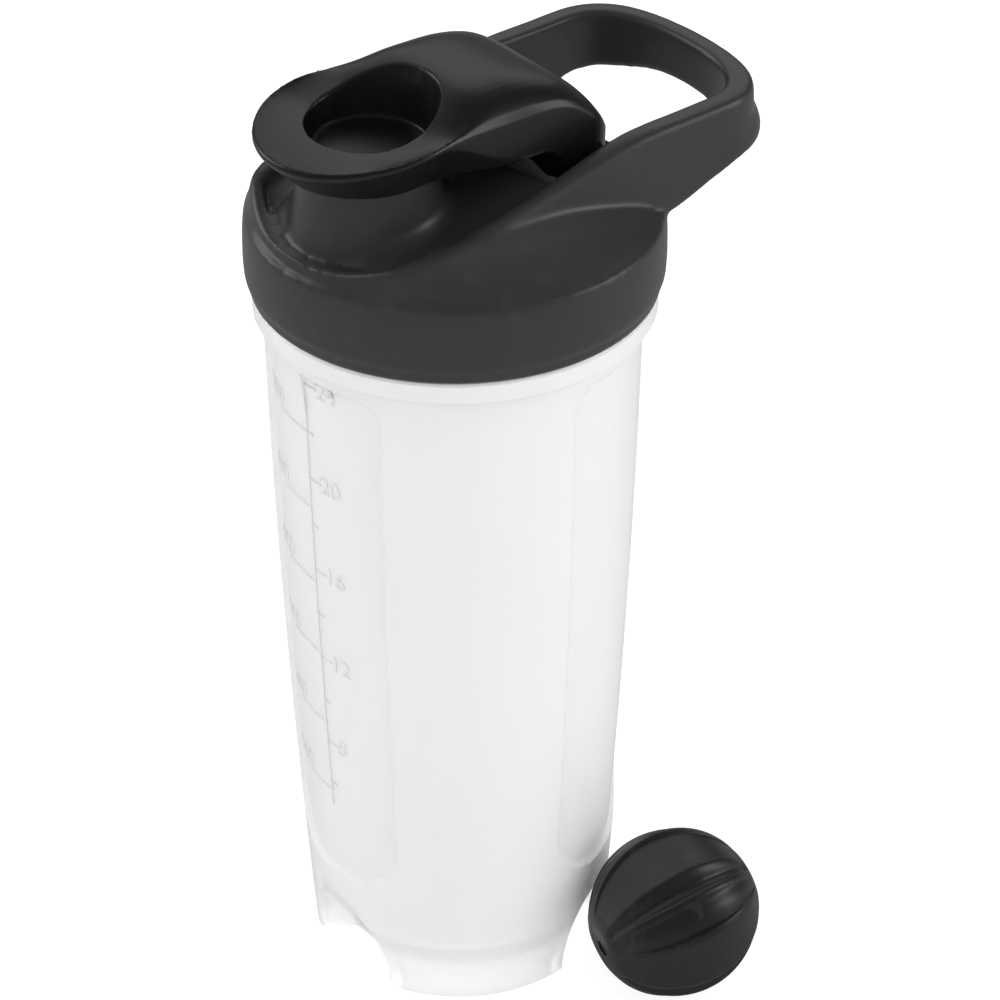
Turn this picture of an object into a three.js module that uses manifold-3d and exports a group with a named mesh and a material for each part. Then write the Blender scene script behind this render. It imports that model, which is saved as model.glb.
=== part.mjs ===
// A protein shaker bottle: a clear three-footed cup, a screw lid with a swept rim that runs back into a
// carry loop, a flip cap on a hinge pin, its spout seal, the lid's sealing ring, and a loose mixing ball.
// Units are millimetres, +Z is up, and the loop points along +X.
// While it is being modelled the bottle's axis is the Z axis and the table is z = 0. At the end the whole
// assembly is shifted so that the origin is the middle of its bounding box, on the table.

import * as THREE from "three";
import { mergeVertices } from "three/addons/utils/BufferGeometryUtils.js";
import Module from "manifold-3d";

const wasm = await Module();
wasm.setup();

// ---- driving dimensions -------------------------------------------------------------------------

const GAP = 0.3; // clearance between pieces that touch
const FINE = 60; // sides of the large round parts
const MEDIUM = 32; // sides of the spout, cap well and seals
const SMALL = 16; // sides of pins and bores

const cup = {
  footRadius: 36, // outer radius at the table
  taper: 0.0717, // growth of the radius per mm of height at the table
  curve: 0.000169, // how much that growth slackens per mm
  wall: 2.4,
  floorTop: 13, // inside floor
  floorUnderside: 10.4,
  floorRadius: 33,
  footSkirt: 2.6, // thickness of the skirt that the feet are cut from
  shoulder: 170, // where the wall starts to draw in to the neck
  collarBottom: 176.8,
  collarTop: 181.9,
  collarRadius: 45.6,
  neckRadius: 41.2,
  neckBore: 38.4,
  rim: 195.5,
  panels: 3,
  panelFirst: Math.PI, // one panel faces the front, under the spout
  panelHalfAngle: 31, // degrees
  panelDepth: 1.2,
  panelBottom: 30,
  panelTop: 173.5,
  panelEdge: 1.6, // width of the soft step round a panel
};

// The notches between the feet, at the radius where each is first cut and where it leaves the wall.
const arch = {
  innerRadius: 27.5,
  innerHalf: 14,
  innerHeight: 9.4,
  outerRadius: 45,
  outerHalf: 20.8,
  outerHeight: 30.2,
};

const thread = { lead: 6, turns: 1.25, start: 185.6, crest: 1.4, rootHalf: 1.35, crestHalf: 0.8 };

const lid = {
  edge: cup.collarTop + GAP,
  bore: 43.1, // inside radius of the skirt
  radius: 47.3,
  crease: 200.5, // top edge of the round skirt
  creaseRadius: 46.8,
  ceiling: 197.6, // underside of the top plate
  deck: 201,
  deckRadius: 41.8,
  rimRadius: 45,
  armHalfInner: 24.7,
  armHalfOuter: 30.5,
  loopInnerX: 65.6,
  loopOuterX: 71.2,
  loopTop: 221.5,
};

const spout = { x: -23.5, base: 19, foot: 17.9, tip: 15.4, bore: 11.9, top: 220.5 };

const hinge = {
  x: 22,
  z: 212,
  pinRadius: 1.5,
  pinHalf: 24,
  boss: 4.3,
  bossFace: 21.5, // inner face of the boss on each arm
  running: 0.15, // play round the pin
};

const cap = {
  discX: -25, // centre of the round front
  discRadius: 23.4,
  halfWidth: 20.9, // of the straight sides
  tail: 31, // rearmost point
  tailCorner: 9,
  underside: 220.2,
  lip: 1.5, // thickness of the thin front edge
  skirtRadius: 17.6,
  skirtBore: 15.9,
  ceiling: 222,
  wellX: -22.8,
  wellFloor: 223.2,
  wellHeight: 16,
  wellTop: 16.4,
  wellBottom: 12.9,
  shell: 2.2,
  barrel: 5,
};

const ball = {
  radius: 21,
  x: 24.3,
  y: -53.4,
  axis: [-0.957, 0.199, -0.209], // through the two poles
  turn: 62, // degrees that the first fin is turned about that axis
  fins: 4,
  hollow: 14.2,
  poleFlat: 0.95, // the poles are cut off flat at this part of the radius
};

// ---- geometry helpers ---------------------------------------------------------------------------

const radians = THREE.MathUtils.degToRad;
const polar = (r, angle, z) => new THREE.Vector3(r * Math.cos(angle), r * Math.sin(angle), z);

// A closed geometry as a solid that booleans can use, with its faces turned outwards.
function solid(geometry) {
  const plain = new THREE.BufferGeometry().setAttribute("position", geometry.getAttribute("position"));
  plain.setIndex(geometry.index);
  const merged = mergeVertices(plain, 1e-4);
  const index = merged.index.array;
  const faces = [];
  for (let i = 0; i < index.length; i += 3) {
    const [a, b, c] = [index[i], index[i + 1], index[i + 2]];
    if (a !== b && b !== c && c !== a) faces.push([a, b, c]);
  }
  const make = (flip) =>
    new wasm.Manifold(
      new wasm.Mesh({
        numProp: 3,
        vertProperties: merged.attributes.position.array,
        triVerts: new Uint32Array(faces.flatMap(([a, b, c]) => (flip ? [a, c, b] : [a, b, c]))),
      }),
    );
  const made = make(false);
  return made.volume() < 0 ? make(true) : made;
}

// A solid as a geometry that a mesh can show.
function geometryOf(made) {
  const { vertProperties, triVerts } = made.getMesh();
  const geometry = new THREE.BufferGeometry();
  geometry.setAttribute("position", new THREE.BufferAttribute(vertProperties, 3));
  geometry.setIndex(new THREE.BufferAttribute(triVerts, 1));
  geometry.computeVertexNormals();
  return geometry;
}

// A solid through rings of equally many points. A loop of rings closes on itself; otherwise the first and
// last ring are closed by a fan to their middle, unless the last has shrunk to a line and needs none.
function loft(rings, { isLoop = false, closeLast = true } = {}) {
  const count = rings[0].length;
  const points = rings.flat();
  const index = [];
  const bands = isLoop ? rings.length : rings.length - 1;
  for (let k = 0; k < bands; k++) {
    const [low, high] = [k * count, ((k + 1) % rings.length) * count];
    for (let i = 0; i < count; i++) {
      const j = (i + 1) % count;
      index.push(low + i, low + j, high + j, low + i, high + j, high + i);
    }
  }
  if (!isLoop) {
    const ends = [[0, true], [(rings.length - 1) * count, false]];
    for (const [first, turned] of closeLast ? ends : ends.slice(0, 1)) {
      const middle = new THREE.Vector3();
      for (let i = 0; i < count; i++) middle.addScaledVector(points[first + i], 1 / count);
      const centre = points.push(middle) - 1;
      for (let i = 0; i < count; i++) {
        const [a, b] = [first + i, first + ((i + 1) % count)];
        index.push(...(turned ? [centre, b, a] : [centre, a, b]));
      }
    }
  }
  const geometry = new THREE.BufferGeometry().setFromPoints(points);
  geometry.setIndex(index);
  return solid(geometry);
}

// A solid of revolution about a vertical axis at (x, 0), from a closed outline of [radius, height] points.
function turned(outline, sides = FINE, x = 0) {
  const points = [...outline, outline[0]].map(([r, z]) => new THREE.Vector2(r, z));
  return solid(new THREE.LatheGeometry(points, sides).rotateX(Math.PI / 2).translate(x, 0, 0));
}

// A cylinder lying along Y.
function crossRod(radius, from, to, x, z, sides = SMALL) {
  return solid(new THREE.CylinderGeometry(radius, radius, to - from, sides).translate(x, (from + to) / 2, z));
}

function block(from, to) {
  const size = to.map((value, i) => value - from[i]);
  const middle = to.map((value, i) => (value + from[i]) / 2);
  return solid(new THREE.BoxGeometry(...size).translate(...middle));
}

// A smooth height along x through a few [x, height] points, level beyond the ends.
function smoothLine(knots) {
  return (x) => {
    if (x <= knots[0][0]) return knots[0][1];
    const k = knots.findIndex(([at]) => at >= x);
    if (k < 0) return knots.at(-1)[1];
    const [p1, p2] = [knots[k - 1], knots[k]];
    const [p0, p3] = [knots[k - 2] ?? p1, knots[k + 1] ?? p2];
    const slope = (a, b) => (b[0] === a[0] ? 0 : (b[1] - a[1]) / (b[0] - a[0]));
    const width = p2[0] - p1[0];
    const [m1, m2] = [slope(p0, p2) * width, slope(p1, p3) * width];
    const t = (x - p1[0]) / width;
    const [t2, t3] = [t * t, t * t * t];
    const heights = (2 * t3 - 3 * t2 + 1) * p1[1] + (3 * t2 - 2 * t3) * p2[1];
    return heights + (t3 - 2 * t2 + t) * m1 + (t3 - t2) * m2;
  };
}

// ---- cup ----------------------------------------------------------------------------------------

const cupRadius = (z) => cup.footRadius + cup.taper * z - cup.curve * z * z;

// Angle from the middle of the nearest panel.
function fromPanel(angle) {
  const pitch = (2 * Math.PI) / cup.panels;
  const turnedBy = THREE.MathUtils.euclideanModulo(angle - cup.panelFirst + pitch / 2, pitch);
  return turnedBy - pitch / 2;
}

// How deep the outside is pressed in: nothing on the rounded feet, the full depth inside a panel.
function panelPress(angle, z) {
  const corner = z < 90 ? 15 : 7;
  const halfHeight = (cup.panelTop - cup.panelBottom) / 2;
  const across = (Math.abs(fromPanel(angle)) - radians(cup.panelHalfAngle)) * cupRadius(z) + corner;
  const along = Math.abs(z - cup.panelBottom - halfHeight) - halfHeight + corner;
  const outside = Math.hypot(Math.max(across, 0), Math.max(along, 0)) + Math.min(Math.max(across, along), 0);
  return cup.panelDepth * THREE.MathUtils.smoothstep(corner - outside, 0, cup.panelEdge);
}

// The outer wall, with the panels pressed in.
function cupWall() {
  const offsets = [0, 8, 16, 21, 25.5, 28.6, 29.9, 31.2, 36, 43, 51];
  const third = [...offsets, 60, ...offsets.slice(1).reverse().map((a) => 120 - a)];
  const angles = [0, 120, 240].flatMap((start) => third.map((a) => radians(start + a + 180)));
  const heights = [0, 12, 24, 29.8, 31, 32.4, 36, 42, 50, 70, 90, 112, 134, 156, 167, 170, 171.8, 173.6, 179];
  return loft(heights.map((z) => angles.map((a) => polar(cupRadius(z) - panelPress(a, z), a, z))));
}

// One notch between two feet: an arch that gets lower and narrower towards the middle of the base.
function footArch(angle, grow) {
  const ring = (radius, half, height) => {
    const points = [];
    const steps = 12;
    for (let i = 0; i <= steps; i++) {
      const t = (Math.PI * i) / steps;
      const side = (half + grow) * Math.sign(Math.cos(t)) * Math.abs(Math.cos(t)) ** 0.55;
      points.push(new THREE.Vector3(radius, side, (height + grow) * Math.sin(t) ** 0.8));
    }
    points.push(new THREE.Vector3(radius, -half - grow, -5), new THREE.Vector3(radius, half + grow, -5));
    return points.map((p) => p.applyAxisAngle(new THREE.Vector3(0, 0, 1), angle));
  };
  return loft([
    ring(arch.innerRadius - grow, arch.innerHalf, arch.innerHeight),
    ring(arch.outerRadius, arch.outerHalf, arch.outerHeight),
  ]);
}

// A helical ridge on a wall of the given radius, pointing outwards or inwards, tapered at both ends.
function threadRidge(wallRadius, outwards, startAngle) {
  const steps = Math.round(32 * thread.turns);
  const rings = [];
  for (let i = 0; i <= steps; i++) {
    const turn = (2 * Math.PI * thread.turns * i) / steps;
    const z = thread.start + (thread.lead * turn) / (2 * Math.PI);
    const grown = THREE.MathUtils.clamp(Math.min(i, steps - i) / 4, 0.05, 1);
    const crest = wallRadius + outwards * thread.crest * grown;
    const root = wallRadius - outwards * 0.4;
    const angle = startAngle + turn;
    rings.push([
      polar(root, angle, z - thread.rootHalf),
      polar(crest, angle, z - thread.crestHalf),
      polar(crest, angle, z + thread.crestHalf),
      polar(root, angle, z + thread.rootHalf),
    ]);
  }
  return loft(rings);
}

function makeCup() {
  const collar = turned([
    [40, cup.collarBottom - 4],
    [cupRadius(cup.collarBottom - 4) - 0.6, cup.collarBottom - 4],
    [cupRadius(cup.collarBottom), cup.collarBottom - 0.6],
    [cup.collarRadius - 0.3, cup.collarBottom],
    [cup.collarRadius, cup.collarBottom + 0.5],
    [cup.collarRadius, cup.collarTop - 0.4],
    [cup.collarRadius - 0.4, cup.collarTop],
    [cup.neckRadius, cup.collarTop],
    [cup.neckRadius, cup.rim - 0.6],
    [cup.neckRadius - 0.6, cup.rim],
    [cup.neckBore + 0.4, cup.rim],
    [30, cup.rim],
    [30, cup.collarBottom - 4],
  ]);
  const innerWall = [20, 45, 75, 105, 135, cup.shoulder - 6].map((z) => [cupRadius(z) - cup.wall, z]);
  const cavity = turned([
    [0, cup.floorTop + 0.4],
    [cup.floorRadius - 6, cup.floorTop],
    [cup.floorRadius - 1.6, cup.floorTop + 0.8],
    [cup.floorRadius + 1.2, cup.floorTop + 3.4],
    ...innerWall,
    [cup.neckBore + 1.4, cup.shoulder + 3],
    [cup.neckBore, cup.collarBottom + 1],
    [cup.neckBore, cup.rim - 0.5],
    [cup.neckBore + 0.8, cup.rim + 5],
    [0, cup.rim + 5],
  ]);
  const under = turned([
    [0, -5],
    [cup.footRadius - cup.footSkirt, -5],
    [cup.footRadius - cup.footSkirt - 0.2, 6.5],
    [cup.floorRadius - 3, 9.6],
    [cup.floorRadius - 7, cup.floorUnderside],
    [0, cup.floorUnderside + 0.6],
  ]);
  let inside = cavity;
  let body = cupWall().add(collar);
  for (let k = 0; k < cup.panels; k++) {
    const angle = cup.panelFirst + (2 * Math.PI * k) / cup.panels;
    inside = inside.subtract(footArch(angle, cup.wall));
    body = body.subtract(footArch(angle, 0));
  }
  return body.subtract(inside).subtract(under).add(threadRidge(cup.neckRadius, 1, 0));
}

// ---- lid ----------------------------------------------------------------------------------------

// Half of the band's outline, from the middle of the front round to the middle of the loop's far bar.
// The front follows a circle about the bottle's axis; the corner eases into the straight arm, and the
// loop's end is bowed, with a long soft corner.
function bandPath(front, half, end, corner) {
  const leave = radians(214);
  const onCircle = polar(front, leave, 0);
  const along = polar(1, leave + Math.PI / 2, 0);
  const control = onCircle.x + (along.x * (-half - onCircle.y)) / along.y;
  const path = new THREE.Path();
  path.absarc(0, 0, front, Math.PI, leave, false);
  path.quadraticCurveTo(control, -half, control + 9, -half);
  path.lineTo(end - corner, -half);
  path.bezierCurveTo(end - 0.29 * corner, -half, end, -0.62 * half, end, 0);
  return path;
}

const innerPath = bandPath(lid.deckRadius, lid.armHalfInner, lid.loopInnerX, 14);
const outerPath = bandPath(lid.rimRadius, lid.armHalfOuter, lid.loopOuterX, 18);

// Heights along the band: its top, the outer and inner lower edges of the loop, and the line on its
// outer face where the shoulder runs out.
const bandTop = smoothLine(
  [
    [-45, 201.9], [-40, 204.4], [-33, 208.8], [-16, 211.4], [4, 215.7],
    [25, 220.3], [42, 220.9], [62, lid.loopTop],
  ],
);
const bandFoot = smoothLine([[30, 195.5], [37, 197.5], [50, 202.9], [57, 206], [64, 207.2], [71, 208]]);
const bandFootInner = smoothLine(
  [[30, 197.8], [42, 201.4], [52, 205.4], [58, 206.9], [63, 208], [65.6, 210]],
);
const ridge = smoothLine(
  [[-45, 201], [-40, 204.6], [-33, 208.6], [-12, 211.3], [4, 210.6], [19, 207.2], [30, 203.2], [36, 198.6]],
);

// Stations round the band: fine where it bends and rises, one pair of points (outer, inner) each.
function bandStations() {
  const steps = 40;
  const half = [];
  for (let i = 0; i <= steps; i++) {
    half.push([outerPath.getPointAt(i / steps), innerPath.getPointAt(i / steps)]);
  }
  const mirrored = half.slice(1, -1).reverse().map((pair) => pair.map((p) => new THREE.Vector2(p.x, -p.y)));
  return [...half, ...mirrored];
}

// The band itself: rim, two arms and the loop's bar as one closed ribbon with softened edges.
function lidBand() {
  const ring = ([outer, inner]) => {
    const top = bandTop(inner.x);
    const foot = bandFoot(outer.x);
    const footInner = Math.max(bandFootInner(inner.x), foot);
    const flare = 1.9 * THREE.MathUtils.smoothstep(outer.x, 50, 64);
    const away = new THREE.Vector2().subVectors(outer, inner);
    const thickness = away.length();
    away.normalize();
    const soft = Math.min(1.2, thickness * 0.3);
    const at = (from, shift, z) => new THREE.Vector3(from.x + away.x * shift, from.y + away.y * shift, z);
    return [
      at(outer, flare - 0.8, foot),
      at(outer, flare, foot + 1.2),
      at(outer, flare * 0.8, foot + 4.2),
      at(outer, 0, Math.max(top - soft - 0.5, foot + 5)),
      at(outer, -soft * 0.5, top - 0.6),
      at(outer, -soft * 1.3, top - 0.1),
      at(inner, soft * 0.8, top),
      at(inner, 0, top - 0.9),
      at(inner, 0, footInner + 0.8),
      at(inner, soft * 0.7, footInner),
    ];
  };
  return loft(bandStations().map(ring), { isLoop: true });
}

// The sloping shoulder that joins one arm's outer face to the edge of the round skirt.
function lidShoulder(side) {
  const stations = 22;
  const rings = [];
  for (let i = 0; i <= stations; i++) {
    const t = (0.012 + 0.598 * i) / stations;
    const at = outerPath.getPointAt(Math.min(t, 1));
    const along = outerPath.getTangentAt(Math.min(t, 1));
    const outwards = new THREE.Vector2(along.y, -along.x);
    const b = at.dot(outwards);
    const reach = -b + Math.sqrt(Math.max(b * b - at.lengthSq() + lid.creaseRadius ** 2, 0));
    const step = (distance, z) => {
      const p = at.clone().addScaledVector(outwards, distance);
      return new THREE.Vector3(p.x, side * p.y, z);
    };
    const high = ridge(at.x);
    const rise = high - lid.crease;
    rings.push([
      step(-1.5, 197.9),
      step(reach, 197.9),
      step(reach, lid.crease),
      step(reach * 0.66 - 0.02, lid.crease + rise * 0.24),
      step(reach * 0.33 - 0.04, lid.crease + rise * 0.6),
      step(-0.06, high),
      step(-1.5, high),
    ]);
  }
  return loft(rings);
}

// The shallow floor between the rim, the arms and the spout. It follows the rim and drops away to leave
// room for the hinge.
function lidBowl() {
  const reach = lid.deckRadius + 0.8;
  const stations = [-42.4, -41.4, -40, -38, -35, -31, -26, -20, -13, -6, 0, 5, 8, 10, 12, 14, 16];
  const rings = stations.map((x) => {
    const half = Math.min(Math.sqrt(Math.max(reach ** 2 - x * x, 1)), lid.armHalfInner + 0.8);
    const left = 1 - THREE.MathUtils.smoothstep(x, 6, 15);
    const points = [-half, half].map((y) => new THREE.Vector3(x, y, lid.ceiling + 1));
    for (let i = 8; i >= 0; i--) {
      const across = i / 4 - 1;
      const rise = bandTop(x) - lid.deck - 2.2 - 1.5 * (1 - across * across);
      points.push(new THREE.Vector3(x, across * half, lid.deck - 0.2 + Math.max(rise, 0) * left));
    }
    return points;
  });
  return loft(rings);
}

function makeLid() {
  const skirt = turned([
    [lid.bore, lid.edge],
    [45.8, lid.edge],
    [46.2, lid.edge + 0.4],
    [46.5, lid.edge + 2.8],
    [47.1, lid.edge + 3.7],
    [lid.radius, lid.edge + 8],
    [lid.radius - 0.1, lid.edge + 14],
    [lid.creaseRadius, lid.crease],
    [lid.creaseRadius - 1.2, lid.deck],
    [0, lid.deck],
    [0, lid.ceiling],
    [lid.bore, lid.ceiling],
  ]);
  const spoutCone = turned(
    [
      [0, lid.ceiling],
      [spout.base, lid.ceiling],
      [spout.base, lid.deck],
      [spout.foot, lid.deck + 3],
      [16.6, lid.deck + 8],
      [15.7, lid.deck + 14],
      [spout.tip, spout.top - 0.6],
      [spout.tip - 0.6, spout.top],
      [0, spout.top],
    ],
    MEDIUM,
    spout.x,
  );
  const bore = turned([[0, 190], [spout.bore, 190], [spout.bore, 230], [0, 230]], MEDIUM, spout.x);
  const inside = turned([[0, 150], [lid.bore, 150], [lid.bore, lid.ceiling], [0, lid.ceiling]]);
  let body = skirt.add(lidBand().subtract(inside)).add(lidBowl()).add(spoutCone);
  for (const side of [-1, 1]) {
    const [near, far] = side < 0 ? [-25.5, -hinge.bossFace] : [hinge.bossFace, 25.5];
    const boss = crossRod(hinge.boss, near, far, hinge.x, hinge.z, MEDIUM);
    const web = block([hinge.x - hinge.boss, near, lid.ceiling + 1], [hinge.x + hinge.boss, far, hinge.z]);
    body = body.add(lidShoulder(side)).add(boss).add(web);
  }
  const depth = hinge.pinHalf + GAP;
  const pinBore = crossRod(hinge.pinRadius + hinge.running, -depth, depth, hinge.x, hinge.z);
  const female = threadRidge(lid.bore + 0.1, -1, Math.PI);
  return body.subtract(bore).subtract(pinBore).add(female);
}

function makeGasket() {
  const [low, high] = [cup.rim + GAP, lid.ceiling - GAP];
  return turned([
    [cup.neckBore + 0.2, low],
    [lid.bore - 0.5, low],
    [lid.bore - 0.5, high],
    [cup.neckBore + 0.2, high],
  ]);
}

// ---- flip cap -----------------------------------------------------------------------------------

// The cap's outline from above, from its front tip round one side to its tail and back along the other:
// a round front that narrows to straight sides and a rounded tail.
function capOutline(steps = 34) {
  const { discX, discRadius, halfWidth, tail, tailCorner } = cap;
  const path = new THREE.Path();
  path.absarc(discX, 0, discRadius, Math.PI, radians(284), false);
  path.bezierCurveTo(discX + 12, -halfWidth - 0.7, -8, -halfWidth, 2, -halfWidth);
  path.lineTo(tail - tailCorner, -halfWidth);
  path.bezierCurveTo(tail - 3, -halfWidth, tail, -halfWidth + 6, tail, -halfWidth + 12);
  path.lineTo(tail, 0);
  const half = path.getSpacedPoints(steps);
  return [...half, ...half.slice(1, -1).reverse().map((p) => new THREE.Vector2(p.x, -p.y))];
}

// Heights along the cap: the rim of its top, how far its middle rises above that, and its lower edge.
const capEdge = smoothLine([
  [-49, 227.3], [-38, 229.4], [-30, 230.4], [-22, 231.1], [-12, 231],
  [-2, 230.4], [9, 230.2], [16, 228.8], [23, 224], [31, 216.5],
]);
const capCrown = smoothLine(
  [[-49, 0.2], [-36, -0.9], [-28, -1.6], [-20, -0.6], [-13, 2.6], [-6, 5.4], [2, 5.8], [14, 4.4]],
);
const capBottom = smoothLine(
  [[-14, cap.underside], [-4, 219.6], [7, 219.4], [12, 218.2], [16, 212.5], [19, 208.5], [31, 208.5]],
);

// The cap's outside, or with a positive inset the hollow a shell's thickness inside it.
function capForm(inset) {
  const outline = capOutline();
  const spine = (p) => new THREE.Vector2(THREE.MathUtils.clamp(p.x, cap.discX, 14), 0);
  const inwards = (p, part) => p.clone().lerp(spine(p), part);
  const ring = (part, height) =>
    outline.map((p) => {
      const shrunk = inwards(p, Math.min(part + inset / p.distanceTo(spine(p)), 1));
      return new THREE.Vector3(shrunk.x, shrunk.y, height(p, shrunk));
    });
  // 1 round the thin front lip, 0 along the deep sides and tail
  const front = (p) => 1 - THREE.MathUtils.smoothstep(p.x, -22, 4);
  const top = (part) => (p, at) => capEdge(at.x) - inset + capCrown(at.x) * (1 - (1 - part) ** 5);
  const undercut = outline.map((p) => {
    const part = (front(p) * (cap.discRadius - cap.skirtRadius)) / cap.discRadius;
    const shrunk = inwards(p, part + inset / p.distanceTo(spine(p)));
    return new THREE.Vector3(shrunk.x, shrunk.y, capBottom(shrunk.x) - inset * 4);
  });
  const lipUnder = (p, at) => THREE.MathUtils.lerp(capBottom(at.x) + 0.6, capEdge(at.x) - cap.lip, front(p));
  return loft([
    undercut,
    ring(0.01, lipUnder),
    ring(0, (p, at) => capEdge(at.x) - inset - 0.7),
    ring(0.02, (p, at) => capEdge(at.x) - inset + 0.1),
    ...[0.06, 0.14, 0.24, 0.4, 0.7, 1].map((part) => ring(part, top(part))),
  ], { closeLast: false });
}

function makeFlipCap() {
  const barrel = crossRod(cap.barrel, -cap.halfWidth + 0.2, cap.halfWidth - 0.2, hinge.x, hinge.z, MEDIUM);
  const well = solid(
    new THREE.CylinderGeometry(cap.wellTop, cap.wellBottom, cap.wellHeight, MEDIUM)
      .rotateX(Math.PI / 2)
      .translate(cap.wellX, 0, cap.wellFloor + cap.wellHeight / 2),
  );
  const seat = turned(
    [[0, 200], [cap.skirtBore, 200], [cap.skirtBore, cap.ceiling], [0, cap.ceiling]],
    MEDIUM,
    spout.x,
  );
  const sleeve = turned(
    [[0, 200], [cap.skirtRadius, 200], [cap.skirtRadius, 250], [0, 250]],
    MEDIUM,
    spout.x,
  );
  const room = capForm(cap.shell)
    .subtract(sleeve)
    .intersect(block([-14, -30, 200], [13, 30, 240]));
  const tailUnder = block([-60, -40, 190], [hinge.x, 40, 208]);
  const pinBore = crossRod(hinge.pinRadius + hinge.running, -30, 30, hinge.x, hinge.z);
  const shell = capForm(0).subtract(room).subtract(tailUnder).add(barrel);
  return shell.subtract(well).subtract(seat).subtract(pinBore);
}

function makeSpoutSeal() {
  const top = cap.ceiling - GAP;
  return turned(
    [
      [0, top - 1.6],
      [8.2, top - 1.6],
      [8.6, 217.4],
      [9.8, 217],
      [11.2, 219.8],
      [11.3, top - 0.8],
      [spout.tip - 0.4, top - 0.8],
      [spout.tip - 0.4, top],
      [0, top],
    ],
    MEDIUM,
    spout.x,
  );
}

function makeHingePin() {
  return crossRod(hinge.pinRadius, -hinge.pinHalf, hinge.pinHalf, hinge.x, hinge.z);
}

// ---- mixing ball --------------------------------------------------------------------------------

// Radius of the lobed surface, as a part of the ball's radius, round one sector between two fins: a flat
// face from the first fin, a groove, and a bulging lobe that rises to the next fin.
function lobe(part) {
  const sector = (2 * Math.PI) / ball.fins;
  if (part <= 0.5) return Math.cos(sector / 4) / Math.cos(part * sector - sector / 4);
  if (part <= 0.74) return 1 - 0.15 * Math.sin((Math.PI * (part - 0.5)) / 0.24) ** 2;
  return 1 - 0.035 * Math.sin((Math.PI * (part - 0.74)) / 0.26);
}

// One half of the hollow ball: pole says which, 1 or -1. The halves meet at the middle.
function ballHalf(pole) {
  const parts = [0, 0.17, 0.34, 0.47, 0.53, 0.58, 0.62, 0.66, 0.71, 0.77, 0.86, 0.95];
  const round = [];
  for (let k = 0; k < ball.fins; k++) {
    for (const part of parts) round.push([((k + part) * 2 * Math.PI) / ball.fins, part]);
  }
  const equator = (GAP / 2 / ball.radius) * pole;
  const latitudes = [equator, ...[0.24, 0.46, 0.66, 0.82, ball.poleFlat].map((s) => s * pole)];
  const skin = latitudes.map((s) => {
    const radius = ball.radius * Math.sqrt(1 - s * s);
    const deep = THREE.MathUtils.smoothstep(ball.poleFlat - Math.abs(s), 0, 0.3);
    const bulge = (part) => 1 - deep * (1 - lobe(part));
    return round.map(([angle, part]) => polar(radius * bulge(part), angle, s * ball.radius));
  });
  const hollow = [0, 0.45, 0.8, 0.97].map((s) => {
    const z = s === 0 ? -pole : s * ball.hollow * pole;
    const radius = ball.hollow * Math.sqrt(1 - s * s);
    return round.filter((_, i) => i % 3 === 0).map(([angle]) => polar(radius, angle, z));
  });
  return loft(skin).subtract(loft(hollow));
}

// Turns the ball's own axis to its place and sets it down on the table.
function placeBall(halves) {
  const group = new THREE.Group();
  const pole = new THREE.Vector3(...ball.axis).normalize();
  const tilt = new THREE.Quaternion().setFromUnitVectors(new THREE.Vector3(0, 0, 1), pole);
  const spin = new THREE.Quaternion().setFromAxisAngle(new THREE.Vector3(0, 0, 1), radians(ball.turn));
  group.quaternion.multiplyQuaternions(tilt, spin);
  group.add(...halves);
  group.updateMatrixWorld(true);
  const lowest = new THREE.Box3().setFromObject(group, true).min.z;
  group.position.set(ball.x, ball.y, -lowest);
  return group;
}

// ---- assembly -----------------------------------------------------------------------------------

const finish = {
  cup: { color: "#e8eaea", roughness: 0.35, metalness: 0, transparent: true, opacity: 0.55 },
  lid: { color: "#3b3b3f", roughness: 0.5, metalness: 0 },
  cap: { color: "#221d21", roughness: 0.45, metalness: 0 },
  seal: { color: "#8c8f92", roughness: 0.7, metalness: 0 },
  pin: { color: "#1c1a1b", roughness: 0.4, metalness: 0 },
  ball: { color: "#1b1b1d", roughness: 0.45, metalness: 0 },
};

function piece(name, made, look) {
  const mesh = new THREE.Mesh(geometryOf(made), new THREE.MeshStandardMaterial({ name, ...look }));
  mesh.name = name;
  return mesh;
}

function assemble() {
  const bottle = new THREE.Group();
  bottle.add(
    piece("cup", makeCup(), finish.cup),
    piece("lid", makeLid(), finish.lid),
    piece("lid_gasket", makeGasket(), finish.seal),
    piece("flip_cap", makeFlipCap(), finish.cap),
    piece("spout_seal", makeSpoutSeal(), finish.seal),
    piece("hinge_pin", makeHingePin(), finish.pin),
    placeBall([
      piece("ball_half_a", ballHalf(1), finish.ball),
      piece("ball_half_b", ballHalf(-1), finish.ball),
    ]),
  );
  bottle.updateMatrixWorld(true);
  const box = new THREE.Box3().setFromObject(bottle, true);
  const middle = box.getCenter(new THREE.Vector3());
  bottle.position.set(-middle.x, -middle.y, -box.min.z);
  const part = new THREE.Group();
  part.add(bottle);
  return part;
}

export default assemble();
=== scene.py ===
"""Looks of a protein shaker bottle and its loose mixing ball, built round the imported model.

Shapes are worked in millimetres about the bottle's own axis, with the table at height 0 and the carry
loop towards +X. Each finished piece is then moved, in its mesh, to its place in metres.
"""

from __future__ import annotations

import logging
import math
from contextlib import contextmanager
from dataclasses import dataclass, field
from enum import Enum
from typing import Callable, Iterator, Sequence

import bmesh
import bpy
from mathutils import Matrix, Quaternion, Vector

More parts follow.
